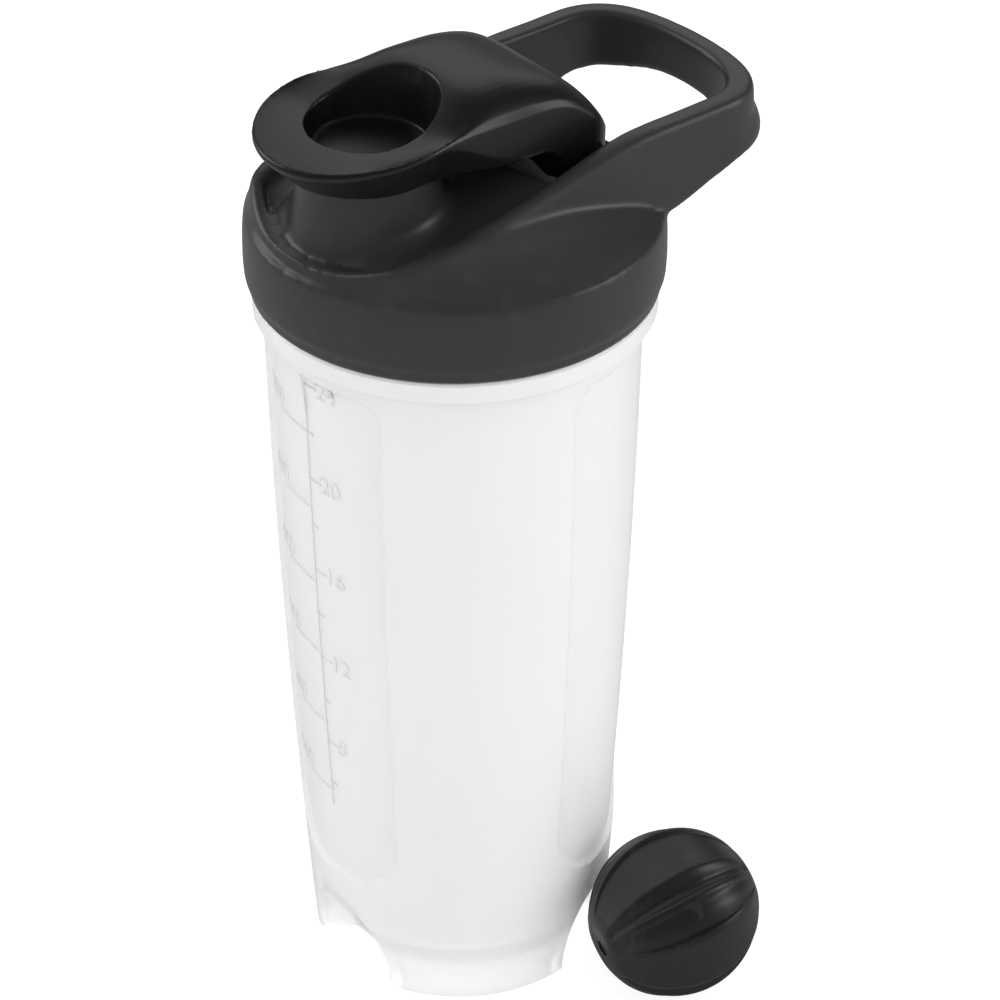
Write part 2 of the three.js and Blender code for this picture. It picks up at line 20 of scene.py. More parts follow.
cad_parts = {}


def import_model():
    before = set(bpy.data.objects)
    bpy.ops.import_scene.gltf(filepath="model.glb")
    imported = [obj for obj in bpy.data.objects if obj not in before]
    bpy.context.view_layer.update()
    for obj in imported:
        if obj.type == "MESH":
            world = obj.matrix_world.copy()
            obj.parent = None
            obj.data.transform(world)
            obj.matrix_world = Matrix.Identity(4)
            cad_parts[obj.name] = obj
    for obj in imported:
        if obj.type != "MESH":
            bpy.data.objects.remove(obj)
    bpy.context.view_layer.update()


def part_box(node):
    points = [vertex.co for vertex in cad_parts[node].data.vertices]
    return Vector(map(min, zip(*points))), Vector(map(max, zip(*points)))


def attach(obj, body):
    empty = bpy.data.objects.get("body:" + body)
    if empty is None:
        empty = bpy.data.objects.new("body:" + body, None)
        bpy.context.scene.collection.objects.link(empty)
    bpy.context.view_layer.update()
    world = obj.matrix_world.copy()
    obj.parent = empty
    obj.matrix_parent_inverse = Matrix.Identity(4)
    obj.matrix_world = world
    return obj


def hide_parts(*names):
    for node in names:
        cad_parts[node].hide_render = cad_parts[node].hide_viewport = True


log = logging.getLogger("shaker")

Point = tuple[float, float]
Knots = Sequence[Point]
MM = 0.001


class Body(Enum):
    """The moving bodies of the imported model."""

    CUP = "cup"
    RING = "seal_ring"
    LID = "lid"
    CAP = "cap"
    BALL = "mixing_ball"


class Cut(Enum):
    """How one solid acts on another."""

    TAKE_AWAY = "DIFFERENCE"
    JOIN = "UNION"
    KEEP_COMMON = "INTERSECT"


# ---- curves --------------------------------------------------------------------------------------


def ease(low: float, high: float, value: float) -> float:
    """Goes smoothly from 0 at low to 1 at high.

    Args:
        low: where the change starts.
        high: where it ends.
        value: where it is asked for.

    Returns:
        A share from 0 to 1.
    """
    share = min(max((value - low) / (high - low), 0.0), 1.0)
    return share * share * (3 - 2 * share)


def smooth_line(knots: Knots) -> Callable[[float], float]:
    """Makes a smooth height along a line through a few knots, level beyond the ends.

    Args:
        knots: (place, height) pairs in order of place.

    Returns:
        A function from place to height.
    """

    def slope(a: Point, b: Point) -> float:
        return 0.0 if a[0] == b[0] else (b[1] - a[1]) / (b[0] - a[0])

    def height(x: float) -> float:
        if x <= knots[0][0]:
            return knots[0][1]
        if x >= knots[-1][0]:
            return knots[-1][1]
        k = next(i for i, knot in enumerate(knots) if knot[0] >= x)
        before, start, end = knots[max(k - 2, 0)], knots[k - 1], knots[k]
        after = knots[min(k + 1, len(knots) - 1)]
        width = end[0] - start[0]
        rise_start, rise_end = slope(before, end) * width, slope(start, after) * width
        t = (x - start[0]) / width
        blend = 3 * t * t - 2 * t**3
        bend = (t**3 - 2 * t * t + t) * rise_start + (t**3 - t * t) * rise_end
        return start[1] + blend * (end[1] - start[1]) + bend

    return height


def arc(centre: Point, radius: float, start: float, end: float, steps: int = 60) -> list[Point]:
    """Points along a circular arc.

    Args:
        centre: middle of the circle.
        radius: its radius.
        start: first angle in degrees.
        end: last angle in degrees.
        steps: number of stretches.

    Returns:
        The points from start to end.
    """
    angles = [math.radians(start + (end - start) * i / steps) for i in range(steps + 1)]
    return [(centre[0] + radius * math.cos(a), centre[1] + radius * math.sin(a)) for a in angles]


def bezier(a: Point, b: Point, c: Point, d: Point, steps: int = 60) -> list[Point]:
    """Points along a cubic curve from a to d, pulled towards b and c.

    Args:
        a: start.
        b: first pull.
        c: second pull.
        d: end.
        steps: number of stretches.

    Returns:
        The points from a to d.
    """
    made = []
    for i in range(steps + 1):
        t = i / steps
        s = 1 - t
        weights = (s**3, 3 * s * s * t, 3 * s * t * t, t**3)
        made.append(tuple(sum(w * p[k] for w, p in zip(weights, (a, b, c, d))) for k in (0, 1)))
    return made


class Track:
    """A plane curve that is read by the share of its length."""

    def __init__(self, points: Sequence[Point]) -> None:
        """Measures the curve.

        Args:
            points: the curve's points, close together.
        """
        self.points = [Vector(p) for p in points]
        self.lengths = [0.0]
        for a, b in zip(self.points, self.points[1:]):
            self.lengths.append(self.lengths[-1] + (b - a).length)

    def at(self, share: float) -> Vector:
        """The point at a share of the length."""
        wanted = min(max(share, 0.0), 1.0) * self.lengths[-1]
        k = next(i for i, length in enumerate(self.lengths) if length >= wanted - 1e-9)
        if k == 0:
            return self.points[0].copy()
        span = self.lengths[k] - self.lengths[k - 1]
        part = (wanted - self.lengths[k - 1]) / span if span > 0 else 0.0
        return self.points[k - 1].lerp(self.points[k], part)

    def along(self, share: float) -> Vector:
        """The direction of travel at a share of the length."""
        return (self.at(share + 0.004) - self.at(share - 0.004)).normalized()

    def even(self, steps: int) -> list[Vector]:
        """The curve as points evenly spaced along it."""
        return [self.at(i / steps) for i in range(steps + 1)]


# ---- the workshop: modelling by operators ----------------------------------------------------------


class Workshop:
    """Modelling steps that every sub-assembly uses. All sizes are in millimetres."""

    @staticmethod
    def pick(obj: bpy.types.Object) -> None:
        """Deselects everything, then selects one object and makes it active."""
        for other in bpy.context.selected_objects:
            other.select_set(False)
        bpy.context.view_layer.objects.active = obj
        obj.select_set(True)

    @classmethod
    @contextmanager
    def editing(cls, obj: bpy.types.Object, select_all: bool = True) -> Iterator[None]:
        """Opens an object in edit mode for a few operators.

        Args:
            obj: the object to edit.
            select_all: True starts with everything selected, False with nothing.
        """
        cls.pick(obj)
        bpy.ops.object.mode_set(mode="EDIT")
        bpy.ops.mesh.select_all(action="SELECT" if select_all else "DESELECT")
        yield
        bpy.ops.object.mode_set(mode="OBJECT")

    @classmethod
    def settle(cls, obj: bpy.types.Object) -> bpy.types.Object:
        """Moves an object's place and turn into its mesh."""
        cls.pick(obj)
        bpy.ops.object.transform_apply(location=True, rotation=True, scale=True)
        return obj

    @classmethod
    def turned(
        cls, outline: Knots, sides: int = 192, x: float = 0.0, closed: bool = True
    ) -> bpy.types.Object:
        """Makes a turned solid: a ring is extruded up and scaled along an outline.

        Args:
            outline: (radius, height) points; a radius of 0 ends in a closed pole.
            sides: sides of the rings.
            x: where the vertical axis stands along X.
            closed: whether the last point runs back to the first.

        Returns:
            The solid.
        """
        least = 0.002
        points = [(max(r, least), z) for r, z in outline]
        if closed:
            points.append(points[0])
        bpy.ops.object.select_all(action="DESELECT")
        (radius, height), rest = points[0], points[1:]
        bpy.ops.mesh.primitive_circle_add(vertices=sides, radius=radius, location=(x, 0, height))
        obj = cls.settle(bpy.context.object)
        with cls.editing(obj):
            for r, z in rest:
                shift = {"value": (0, 0, z - height)}
                bpy.ops.mesh.extrude_region_move(TRANSFORM_OT_translate=shift)
                grow = r / radius
                bpy.ops.transform.resize(value=(grow, grow, 1), center_override=(x, 0, z))
                radius, height = r, z
            bpy.ops.mesh.select_all(action="SELECT")
            bpy.ops.mesh.remove_doubles(threshold=4 * least)
            bpy.ops.mesh.normals_make_consistent(inside=False)
        return obj

    @classmethod
    def cross_rod(
        cls, radius: float, span: Point, x: float, z: float, sides: int = 64, soft: float = 0.0
    ) -> bpy.types.Object:
        """Makes a rod lying along Y, with its end edges bevelled.

        Args:
            radius: of the rod.
            span: its two ends along Y.
            x: place of its axis along X.
            z: height of its axis.
            sides: sides of the rod.
            soft: width of the bevel at its ends, 0 for none.

        Returns:
            The rod.
        """
        bpy.ops.object.select_all(action="DESELECT")
        bpy.ops.mesh.primitive_cylinder_add(
            vertices=sides,
            radius=radius,
            depth=span[1] - span[0],
            location=(x, sum(span) / 2, z),
            rotation=(math.pi / 2, 0, 0),
        )
        obj = cls.settle(bpy.context.object)
        if soft > 0:
            cls.modify(obj, "BEVEL", width=soft, segments=3, limit_method="ANGLE", angle_limit=0.9)
        return obj

    @classmethod
    def block(cls, low: Sequence[float], high: Sequence[float]) -> bpy.types.Object:
        """Makes a block between two corners, to join or cut with."""
        bpy.ops.object.select_all(action="DESELECT")
        middle = [(a + b) / 2 for a, b in zip(low, high)]
        bpy.ops.mesh.primitive_cube_add(size=1, location=middle)
        obj = bpy.context.object
        obj.scale = [b - a for a, b in zip(low, high)]
        return cls.settle(obj)

    @staticmethod
    def skin(rings: Sequence[Sequence[Vector]], loop: bool = False, fan_last: bool = True) -> bpy.types.Object:
        """Makes a closed skin through rings of equally many points, for shapes no primitive leads to.

        Args:
            rings: the rings, each a closed line of points.
            loop: whether the last ring joins the first.
            fan_last: whether the last ring is closed by a fan; a ring that has shrunk to a line needs none.

        Returns:
            The solid.
        """
        mesh = bpy.data.meshes.new("skin")
        obj = bpy.data.objects.new("skin", mesh)
        bpy.context.scene.collection.objects.link(obj)
        shape = bmesh.new()
        grid = [[shape.verts.new(p) for p in ring] for ring in rings]
        count = len(grid[0])
        pairs = list(zip(grid, grid[1:])) + ([(grid[-1], grid[0])] if loop else [])
        for low, high in pairs:
            for i in range(count):
                j = (i + 1) % count
                shape.faces.new((low[i], low[j], high[j], high[i]))
        if not loop:
            for ring in (grid[0], grid[-1]) if fan_last else (grid[0],):
                middle = sum((v.co for v in ring), Vector()) / count
                centre = shape.verts.new(middle)
                for i in range(count):
                    shape.faces.new((ring[i], ring[(i + 1) % count], centre))
        bmesh.ops.remove_doubles(shape, verts=shape.verts, dist=1e-4)
        bmesh.ops.recalc_face_normals(shape, faces=shape.faces)
        shape.to_mesh(mesh)
        shape.free()
        return obj

    @classmethod
    def modify(cls, obj: bpy.types.Object, kind: str, **settings: object) -> bpy.types.Object:
        """Adds a modifier, sets it and applies it.

        Args:
            obj: the object.
            kind: the modifier's type.
            **settings: its properties.

        Returns:
            The same object.
        """
        cls.pick(obj)
        modifier = obj.modifiers.new(kind.lower(), kind)
        for name, value in settings.items():
            setattr(modifier, name, value)
        bpy.ops.object.modifier_apply(modifier=modifier.name)
        return obj

    @classmethod
    def cut(cls, obj: bpy.types.Object, tool: bpy.types.Object, how: Cut = Cut.TAKE_AWAY) -> bpy.types.Object:
        """Cuts or joins one solid with another, which is used up."""
        cls.modify(obj, "BOOLEAN", operation=how.value, solver="EXACT", object=tool)
        bpy.data.objects.remove(tool)
        return obj

    @classmethod
    def gather(cls, objs: Sequence[bpy.types.Object]) -> bpy.types.Object:
        """Makes several solids one object."""
        cls.pick(objs[0])
        for obj in objs[1:]:
            obj.select_set(True)
        bpy.ops.object.join()
        return objs[0]

    @classmethod
    def melt(cls, obj: bpy.types.Object, grain: float, passes: int) -> bpy.types.Object:
        """Fuses overlapping solids into one skin and rounds its edges, as a mould does.

        Args:
            obj: the joined solids.
            grain: size of the new skin's squares.
            passes: rounds of smoothing.

        Returns:
            The same object.
        """
        cls.modify(obj, "REMESH", mode="VOXEL", voxel_size=grain, adaptivity=0.0)
        return cls.modify(obj, "SMOOTH", factor=0.5, iterations=passes)

    @staticmethod
    def shape(obj: bpy.types.Object, move: Callable[[Vector], Vector]) -> bpy.types.Object:
        """Moves every point of a mesh by a rule."""
        for vertex in obj.data.vertices:
            vertex.co = move(vertex.co)
        obj.data.update()
        return obj


# ---- finishes --------------------------------------------------------------------------------------


class Nodes:
    """A small writer for shader nodes."""

    def __init__(self, tree: bpy.types.NodeTree) -> None:
        """Starts on an empty tree.

        Args:
            tree: the tree of a material, group or world.
        """
        self.tree = tree
        tree.nodes.clear()

    def add(self, kind: str, inputs: dict | None = None, **settings: object) -> bpy.types.Node:
        """Adds a node.

        Args:
            kind: the node's type, without the ShaderNode prefix where it has one.
            inputs: input name or number to a value or to another node's output socket.
            **settings: properties of the node.

        Returns:
            The node.
        """
        node = self.tree.nodes.new(kind if kind.startswith("Node") else "ShaderNode" + kind)
        for name, value in settings.items():
            setattr(node, name, value)
        for name, value in (inputs or {}).items():
            if isinstance(value, bpy.types.NodeSocket):
                self.tree.links.new(value, node.inputs[name])
            else:
                node.inputs[name].default_value = value
        return node

    def math(self, operation: str, *values: object) -> bpy.types.NodeSocket:
        """Adds a sum and gives its result."""
        return self.add("Math", dict(enumerate(values)), operation=operation).outputs[0]

    def spread(self, value: object, low: float, high: float, to: Point = (0.0, 1.0)) -> bpy.types.NodeSocket:
        """Stretches a value from one range to another, held within it."""
        given = {"Value": value, "From Min": low, "From Max": high, "To Min": to[0], "To Max": to[1]}
        return self.add("MapRange", given).outputs["Result"]


class SkinGroup:
    """The group that gives moulded plastic its surface: fine grain, flow marks, handling marks and dust."""

    NAME = "moulded_skin"
    INPUTS = (
        ("Color", "NodeSocketColor"),
        ("Roughness", "NodeSocketFloat"),
        ("Grain Size", "NodeSocketFloat"),
        ("Variation", "NodeSocketFloat"),
        ("Wear", "NodeSocketFloat"),
        ("Dust", "NodeSocketFloat"),
    )
    OUTPUTS = (("Color", "NodeSocketColor"), ("Roughness", "NodeSocketFloat"), ("Height", "NodeSocketFloat"))

    @classmethod
    def get(cls) -> bpy.types.NodeTree:
        """The group, built the first time it is asked for."""
        return bpy.data.node_groups.get(cls.NAME) or cls._build()

    @classmethod
    def _build(cls) -> bpy.types.NodeTree:
        """Builds the group's sockets and nodes."""
        tree = bpy.data.node_groups.new(cls.NAME, "ShaderNodeTree")
        for name, kind in cls.INPUTS:
            tree.interface.new_socket(name, in_out="INPUT", socket_type=kind)
        for name, kind in cls.OUTPUTS:
            tree.interface.new_socket(name, in_out="OUTPUT", socket_type=kind)
        nodes = Nodes(tree)
        given = nodes.add("NodeGroupInput").outputs
        place = nodes.add("TexCoord").outputs["Object"]
        finest = nodes.math("DIVIDE", 1.0, given["Grain Size"])
        grain = nodes.add("TexNoise", {"Vector": place, "Scale": finest, "Detail": 3.0}).outputs["Fac"]
        flow_place = nodes.add("Mapping", {"Vector": place, "Scale": (1.0, 1.0, 0.25)}).outputs[0]
        flow = nodes.add("TexNoise", {"Vector": flow_place, "Scale": 38.0, "Detail": 4.0}).outputs["Fac"]
        rubs = nodes.add("TexNoise", {"Vector": place, "Scale": 140.0, "Detail": 6.0, "Distortion": 1.4})
        rub = nodes.spread(rubs.outputs["Fac"], 0.58, 0.72)
        specks = nodes.add("TexVoronoi", {"Vector": place, "Scale": 900.0}).outputs["Distance"]
        speck = nodes.math("MULTIPLY", nodes.math("LESS_THAN", specks, 0.09), given["Dust"])
        uneven = nodes.math("MULTIPLY", nodes.math("SUBTRACT", flow, 0.5), given["Variation"])
        bright = nodes.math("ADD", 1.0, uneven)
        toned = nodes.add("HueSaturation", {"Color": given["Color"], "Value": bright}).outputs["Color"]
        pale = nodes.math("ADD", nodes.math("MULTIPLY", rub, nodes.math("MULTIPLY", given["Wear"], 0.2)), speck)
        worn = nodes.add(
            "Mix", {"Factor": pale, "A": toned, "B": (0.55, 0.55, 0.56, 1.0)}, data_type="RGBA"
        ).outputs["Result"]
        rough = nodes.math("ADD", given["Roughness"], nodes.math("MULTIPLY", uneven, 0.5))
        rough = nodes.math("ADD", rough, nodes.math("MULTIPLY", rub, nodes.math("MULTIPLY", given["Wear"], 0.3)))
        nodes.add("NodeGroupOutput", {"Color": worn, "Roughness": rough, "Height": grain})
        return tree


@dataclass(frozen=True)
class PlasticFinish:
    """An opaque moulded plastic or rubber.

    Attributes:
        name: the material's name.
        colour: its base colour, linear.
        roughness: of the bare surface.
        grain_mm: size of the mould's grain.
        grain_depth: strength of that grain.
        variation: how uneven colour and gloss are.
        wear: how much handling shows.
        dust: how much the fine specks show.
        specular: the shader's specular level.
        coat: weight of a smoother top skin.
    """

    name: str
    colour: tuple[float, float, float]
    roughness: float
    grain_mm: float = 0.35
    grain_depth: float = 0.05
    variation: float = 0.12
    wear: float = 0.2
    dust: float = 0.02
    specular: float = 0.5
    coat: float = 0.0

    def make(self) -> bpy.types.Material:
        """Builds the material."""
        material = bpy.data.materials.new(self.name)
        material.use_nodes = True
        nodes = Nodes(material.node_tree)
        skin = nodes.add("Group", node_tree=SkinGroup.get())
        values = {
            "Color": (*self.colour, 1.0),
            "Roughness": self.roughness,
            "Grain Size": self.grain_mm * MM,
            "Variation": self.variation,
            "Wear": self.wear,
            "Dust": self.dust,
        }
        for name, value in values.items():
            skin.inputs[name].default_value = value
        bump = nodes.add(
            "Bump", {"Height": skin.outputs["Height"], "Strength": self.grain_depth, "Distance": 0.0002}
        )
        shader = nodes.add(
            "BsdfPrincipled",
            {
                "Base Color": skin.outputs["Color"],
                "Roughness": skin.outputs["Roughness"],
                "Normal": bump.outputs["Normal"],
                "Specular IOR Level": self.specular,
                "Coat Weight": self.coat,
                "Coat Roughness": 0.25,
            },
        )
        nodes.add("OutputMaterial", {"Surface": shader.outputs[0]})
        return material


@dataclass(frozen=True)
class FrostedFinish:
    """A milky, see-through moulded plastic.

    Attributes:
        name: the material's name.
        colour: its base colour, linear.
        roughness: of the surface, which blurs what is seen through it.
        clearness: transmission weight.
    """

    name: str
    colour: tuple[float, float, float] = (0.95, 0.95, 0.95)
    roughness: float = 0.3
    clearness: float = 0.45

    def make(self) -> bpy.types.Material:
        """Builds the material."""
        material = bpy.data.materials.new(self.name)
        material.use_nodes = True
        nodes = Nodes(material.node_tree)
        skin = nodes.add("Group", node_tree=SkinGroup.get())
        values = {
            "Color": (*self.colour, 1.0),
            "Roughness": self.roughness,
            "Grain Size": 0.5 * MM,
            "Variation": 0.03,
            "Wear": 0.1,
            "Dust": 0.0,
        }
        for name, value in values.items():
            skin.inputs[name].default_value = value
        bump = nodes.add("Bump", {"Height": skin.outputs["Height"], "Strength": 0.03, "Distance": 0.0002})
        shader = nodes.add(
            "BsdfPrincipled",
            {
                "Base Color": skin.outputs["Color"],
                "Roughness": skin.outputs["Roughness"],
                "Normal": bump.outputs["Normal"],
                "IOR": 1.49,
                "Transmission Weight": self.clearness,
            },
        )
        nodes.add("OutputMaterial", {"Surface": shader.outputs[0]})
        return material


LID_FINISH = PlasticFinish("lid_satin_grey", (0.021, 0.021, 0.024), 0.38, wear=0.04)
CAP_FINISH = PlasticFinish("cap_satin_black", (0.0045, 0.0035, 0.0043), 0.34, 0.3, 0.04, wear=0.04)
BALL_FINISH = PlasticFinish("ball_black", (0.0075, 0.0078, 0.009), 0.38, 0.5, 0.08, wear=0.08)
SEAL_FINISH = PlasticFinish("seal_silicone", (0.3, 0.31, 0.32), 0.6, 0.6, 0.06, specular=0.4)
PIN_FINISH = PlasticFinish("pin_black", (0.012, 0.011, 0.012), 0.34, 0.3, 0.05)
CUP_FINISH = FrostedFinish("cup_frosted")
SCALE_FINISH = FrostedFinish("scale_relief", colour=(0.8, 0.81, 0.82), roughness=0.4, clearness=0.3)


# ---- placing and reporting -------------------------------------------------------------------------


@dataclass
class Bench:
    """Where the bottle stands in the row frame, and how a finished piece is handed over.

    Attributes:
        axis: the bottle's vertical axis on the table, in metres.
    """

    axis: Vector

    @classmethod
    def from_frame(cls) -> Bench:
        """Reads the axis from the sealing ring, which is round about it."""
        low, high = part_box("lid_gasket")
        middle = (low + high) / 2
        return cls(Vector((middle.x, middle.y, 0.0)))

    def hand_over(
        self,
        obj: bpy.types.Object,
        name: str,
        body: Body,
        material: bpy.types.Material,
        nodes: Sequence[str] = (),
        sharp: float = 40.0,
    ) -> bpy.types.Object:
        """Gives a shaped piece its place, shading, finish and body.

        Args:
            obj: the piece, in millimetres about the bottle's axis.
            name: its name.
            body: the body that carries it.
            material: its finish.
            nodes: the CAD nodes that it stands for.
            sharp: edges sharper than this many degrees keep a crease.

        Returns:
            The finished piece.
        """
        obj.name = obj.data.name = name
        obj.data.transform(Matrix.Translation(self.axis) @ Matrix.Scale(MM, 4))
        Workshop.pick(obj)
        bpy.ops.object.shade_smooth_by_angle(angle=math.radians(sharp))
        obj.data.materials.clear()
        obj.data.materials.append(material)
        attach(obj, body.value)
        if nodes:
            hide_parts(*nodes)
        faces = sum(len(p.vertices) - 2 for p in obj.data.polygons)
        log.info("%s: %d triangles, rides on %s", name, faces, body.value)
        return obj


# ---- shared sizes ----------------------------------------------------------------------------------


@dataclass
class Spout:
    """The drinking spout, which the lid carries and the cap closes."""

    x: float = -23.5
    tip: float = 15.4
    bore: float = 11.9
    top: float = 220.5


@dataclass
class Hinge:
    """The cap's hinge."""

    x: float = 22.0
    z: float = 212.0
    pin: float = 1.5
    pin_half: float = 24.0


@dataclass
class Thread:
    """The closure thread."""

    lead: float = 6.0
    turns: float = 1.25
    start: float = 185.6
    crest: float = 1.4
    root_half: float = 1.35
    crest_half: float = 0.8

    def ridge(self, wall: float, outwards: int, first: float) -> bpy.types.Object:
        """Makes one helical ridge on a round wall, tapered at both ends.

        Args:
            wall: radius of the wall.
            outwards: 1 to stand out of the wall, -1 to stand in from it.
            first: angle where it starts, in radians.

        Returns:
            The ridge.
        """
        steps = 150
        rings = []
        for i in range(steps + 1):
            turn = 2 * math.pi * self.turns * i / steps
            grown = min(max(min(i, steps - i) / 12, 0.05), 1.0)
            crest = wall + outwards * self.crest * grown
            root = wall - outwards * 0.4
            z = self.start + self.lead * turn / (2 * math.pi)
            angle = first + turn
            section = (
                (root, -self.root_half),
                (crest, -self.crest_half),
                (crest, self.crest_half),
                (root, self.root_half),
            )
            rings.append([Vector((r * math.cos(angle), r * math.sin(angle), z + dz)) for r, dz in section])
        return Workshop.skin(rings)


# ---- cup -------------------------------------------------------------------------------------------


@dataclass
class Cup:
    """The see-through cup: three feet, three pressed panels, a collar and a threaded neck."""

    foot_radius: float = 36.0
    taper: float = 0.0717
    curve: float = 0.000169
    wall: float = 2.4
    floor_top: float = 13.0
    floor_under: float = 10.4
    floor_radius: float = 33.0
    foot_skirt: float = 2.6
    collar_bottom: float = 176.8
    collar_top: float = 181.9
    collar_radius: float = 45.6
    neck_radius: float = 41.2
    neck_bore: float = 38.4
    rim: float = 195.5
    panel_first: float = 180.0
    panel_half: float = 30.7
    panel_depth: float = 1.2
    panel_bottom: float = 30.0
    panel_top: float = 173.5
    panel_edge: float = 1.5
    thread: Thread = field(default_factory=Thread)

    def radius(self, z: float) -> float:
        """Radius of the outer wall at a height."""
        return self.foot_radius + self.taper * z - self.curve * z * z

    def press(self, angle: float, z: float) -> float:
        """How deep the outer wall is pressed in.

        Args:
            angle: round the axis, in degrees.
            z: height.

        Returns:
            Depth in millimetres.
        """
        off = (angle - self.panel_first + 60) % 120 - 60
        corner = 15.0 if z < 90 else 7.0
        half = (self.panel_top - self.panel_bottom) / 2
        across = math.radians(abs(off) - self.panel_half) * self.radius(z) + corner
        along = abs(z - self.panel_bottom - half) - half + corner
        outside = math.hypot(max(across, 0), max(along, 0)) + min(max(across, along), 0)
        return self.panel_depth * ease(0, self.panel_edge, corner - outside)

    def outer(self) -> bpy.types.Object:
        """The outside as a solid turning, with its panels pressed in."""
        fine = [26 + 1.0 * i for i in range(24)]
        late = [160 + 0.8 * i for i in range(20)]
        heights = [1.2, 4, 8, 13, 19, *fine, *range(52, 156, 8), *late]
        wall = [(self.radius(z), z) for z in heights]
        outline = [
            (0, 0),
            (self.foot_radius - 1.4, 0),
            (self.foot_radius - 0.4, 0.3),
            *wall,
            (self.radius(self.collar_bottom) + 0.3, self.collar_bottom - 0.2),
            (self.collar_radius - 0.5, self.collar_bottom),
            (self.collar_radius, self.collar_bottom + 0.5),
            (self.collar_radius, self.collar_top - 0.5),
            (self.collar_radius - 0.5, self.collar_top),
            (self.neck_radius + 0.3, self.collar_top),
            (self.neck_radius, self.collar_top + 0.3),
            (self.neck_radius, self.rim - 0.8),
            (self.neck_radius - 0.25, self.rim - 0.25),
            (self.neck_radius - 0.8, self.rim),
            (0, self.rim),
        ]
        made = Workshop.turned(outline, sides=540, closed=False)

        def pressed(p: Vector) -> Vector:
            r = math.hypot(p.x, p.y)
            if not 20 < p.z < self.collar_bottom - 2 or r < 20:
                return p
            shrink = 1 - self.press(math.degrees(math.atan2(p.y, p.x)), p.z) / r
            return Vector((p.x * shrink, p.y * shrink, p.z))

        return Workshop.shape(made, pressed)

    def cavity(self) -> bpy.types.Object:
        """The space inside, as a solid to cut with."""
        rows = [20, 32, 45, 60, 75, 90, 105, 120, 135, 150, 164]
        outline = [
            (0, self.floor_top + 0.4),
            (self.floor_radius - 6, self.floor_top),
            (self.floor_radius - 2.6, self.floor_top + 0.5),
            (self.floor_radius - 0.4, self.floor_top + 1.7),
            (self.floor_radius + 1.2, self.floor_top + 4),
            *[(self.radius(z) - self.wall, z) for z in rows],
            (self.radius(169) - self.wall - 0.4, 169),
            (self.neck_bore + 1.2, 173.5),
            (self.neck_bore, self.collar_bottom + 1),
            (self.neck_bore, self.rim - 0.8),
            (self.neck_bore + 0.3, self.rim - 0.2),
            (self.neck_bore + 1.0, self.rim + 0.3),
            (self.neck_bore + 1.0, self.rim + 5),
            (0, self.rim + 5),
        ]
        return Workshop.turned(outline, sides=240, closed=False)

    def under(self) -> bpy.types.Object:
        """The hollow under the floor, as a solid to cut with."""
        inner = self.foot_radius - self.foot_skirt
        outline = [
            (0, -5),
            (inner + 0.4, -5),
            (inner + 0.4, 0),
            (inner, 0.5),
            (inner - 0.2, 6.5),
            (self.floor_radius - 1.6, 8.6),
            (self.floor_radius - 3, 9.6),
            (self.floor_radius - 7, self.floor_under),
            (0, self.floor_under + 0.6),
        ]
        return Workshop.turned(outline, sides=240, closed=False)

    def arch(self, angle: float, grow: float) -> bpy.types.Object:
        """One notch between two feet, as a solid to cut with.

        Args:
            angle: direction of the notch, in degrees.
            grow: how much larger than the notch it is.

        Returns:
            The solid.
        """
        turn = Matrix.Rotation(math.radians(angle), 4, "Z")

        def ring(radius: float, half: float, height: float) -> list[Vector]:
            points = []
            for i in range(49):
                t = math.pi * i / 48
                side = (half + grow) * math.copysign(abs(math.cos(t)) ** 0.55, math.cos(t))
                points.append(Vector((radius, side, (height + grow) * max(math.sin(t), 0) ** 0.8)))
            points += [Vector((radius, -half - grow, -6)), Vector((radius, half + grow, -6))]
            return [turn @ p for p in points]

        steps = 8
        rings = []
        for i in range(steps + 1):
            part = i / steps
            rings.append(ring(25.5 - grow + (19.5 + grow) * part, 9 + 14.9 * part, 0.5 + 33.3 * part))
        return Workshop.skin(rings)

    def shell(self) -> bpy.types.Object:
        """The whole cup as one closed skin."""
        inside, under = self.cavity(), self.under()
        body = self.outer()
        for k in range(3):
            angle = self.panel_first + 120 * k
            Workshop.cut(inside, self.arch(angle, self.wall))
            Workshop.cut(under, self.arch(angle, self.wall))
            Workshop.cut(body, self.arch(angle, 0))
        Workshop.cut(body, inside)
        Workshop.cut(body, under)
        return Workshop.cut(body, self.thread.ridge(self.neck_radius, 1, 0), Cut.JOIN)

    def wrap(self, obj: bpy.types.Object, angle: float, z: float, proud: float) -> bpy.types.Object:
        """Lays a flat relief on the cup's pressed wall.

        Args:
            obj: relief drawn in the XY plane, its thickness along Z.
            angle: direction of its origin, in degrees.
            z: height of its origin.
            proud: how far its middle stands off the wall.

        Returns:
            The same object.
        """

        def onto(p: Vector) -> Vector:
            height = z + p.y
            turned = math.radians(angle) + p.x / self.radius(height)
            depth = self.press(math.degrees(turned), height)
            r = self.radius(height) - depth + proud + p.z
            return Vector((r * math.cos(turned), r * math.sin(turned), height))

        return Workshop.shape(obj, onto)

    def numeral(self, text: str, angle: float, z: float) -> bpy.types.Object:
        """One moulded number of the measuring scale."""
        bpy.ops.object.select_all(action="DESELECT")
        bpy.ops.object.text_add()
        obj = bpy.context.object
        obj.data.body = text
        obj.data.size = 6.4
        obj.data.extrude = 0.1
        obj.data.bevel_depth = 0.04
        obj.data.align_y = "CENTER"
        bpy.ops.object.convert(target="MESH")
        return self.wrap(bpy.context.object, angle, z, 0.05)

    def stroke(self, width: float, height: float, angle: float, z: float) -> bpy.types.Object:
        """One moulded line of the measuring scale."""
        obj = Workshop.block((0, -height / 2, -0.16), (width, height / 2, 0.16))
        with Workshop.editing(obj):
            bpy.ops.mesh.subdivide(number_cuts=10)
        return self.wrap(obj, angle, z, 0.08)

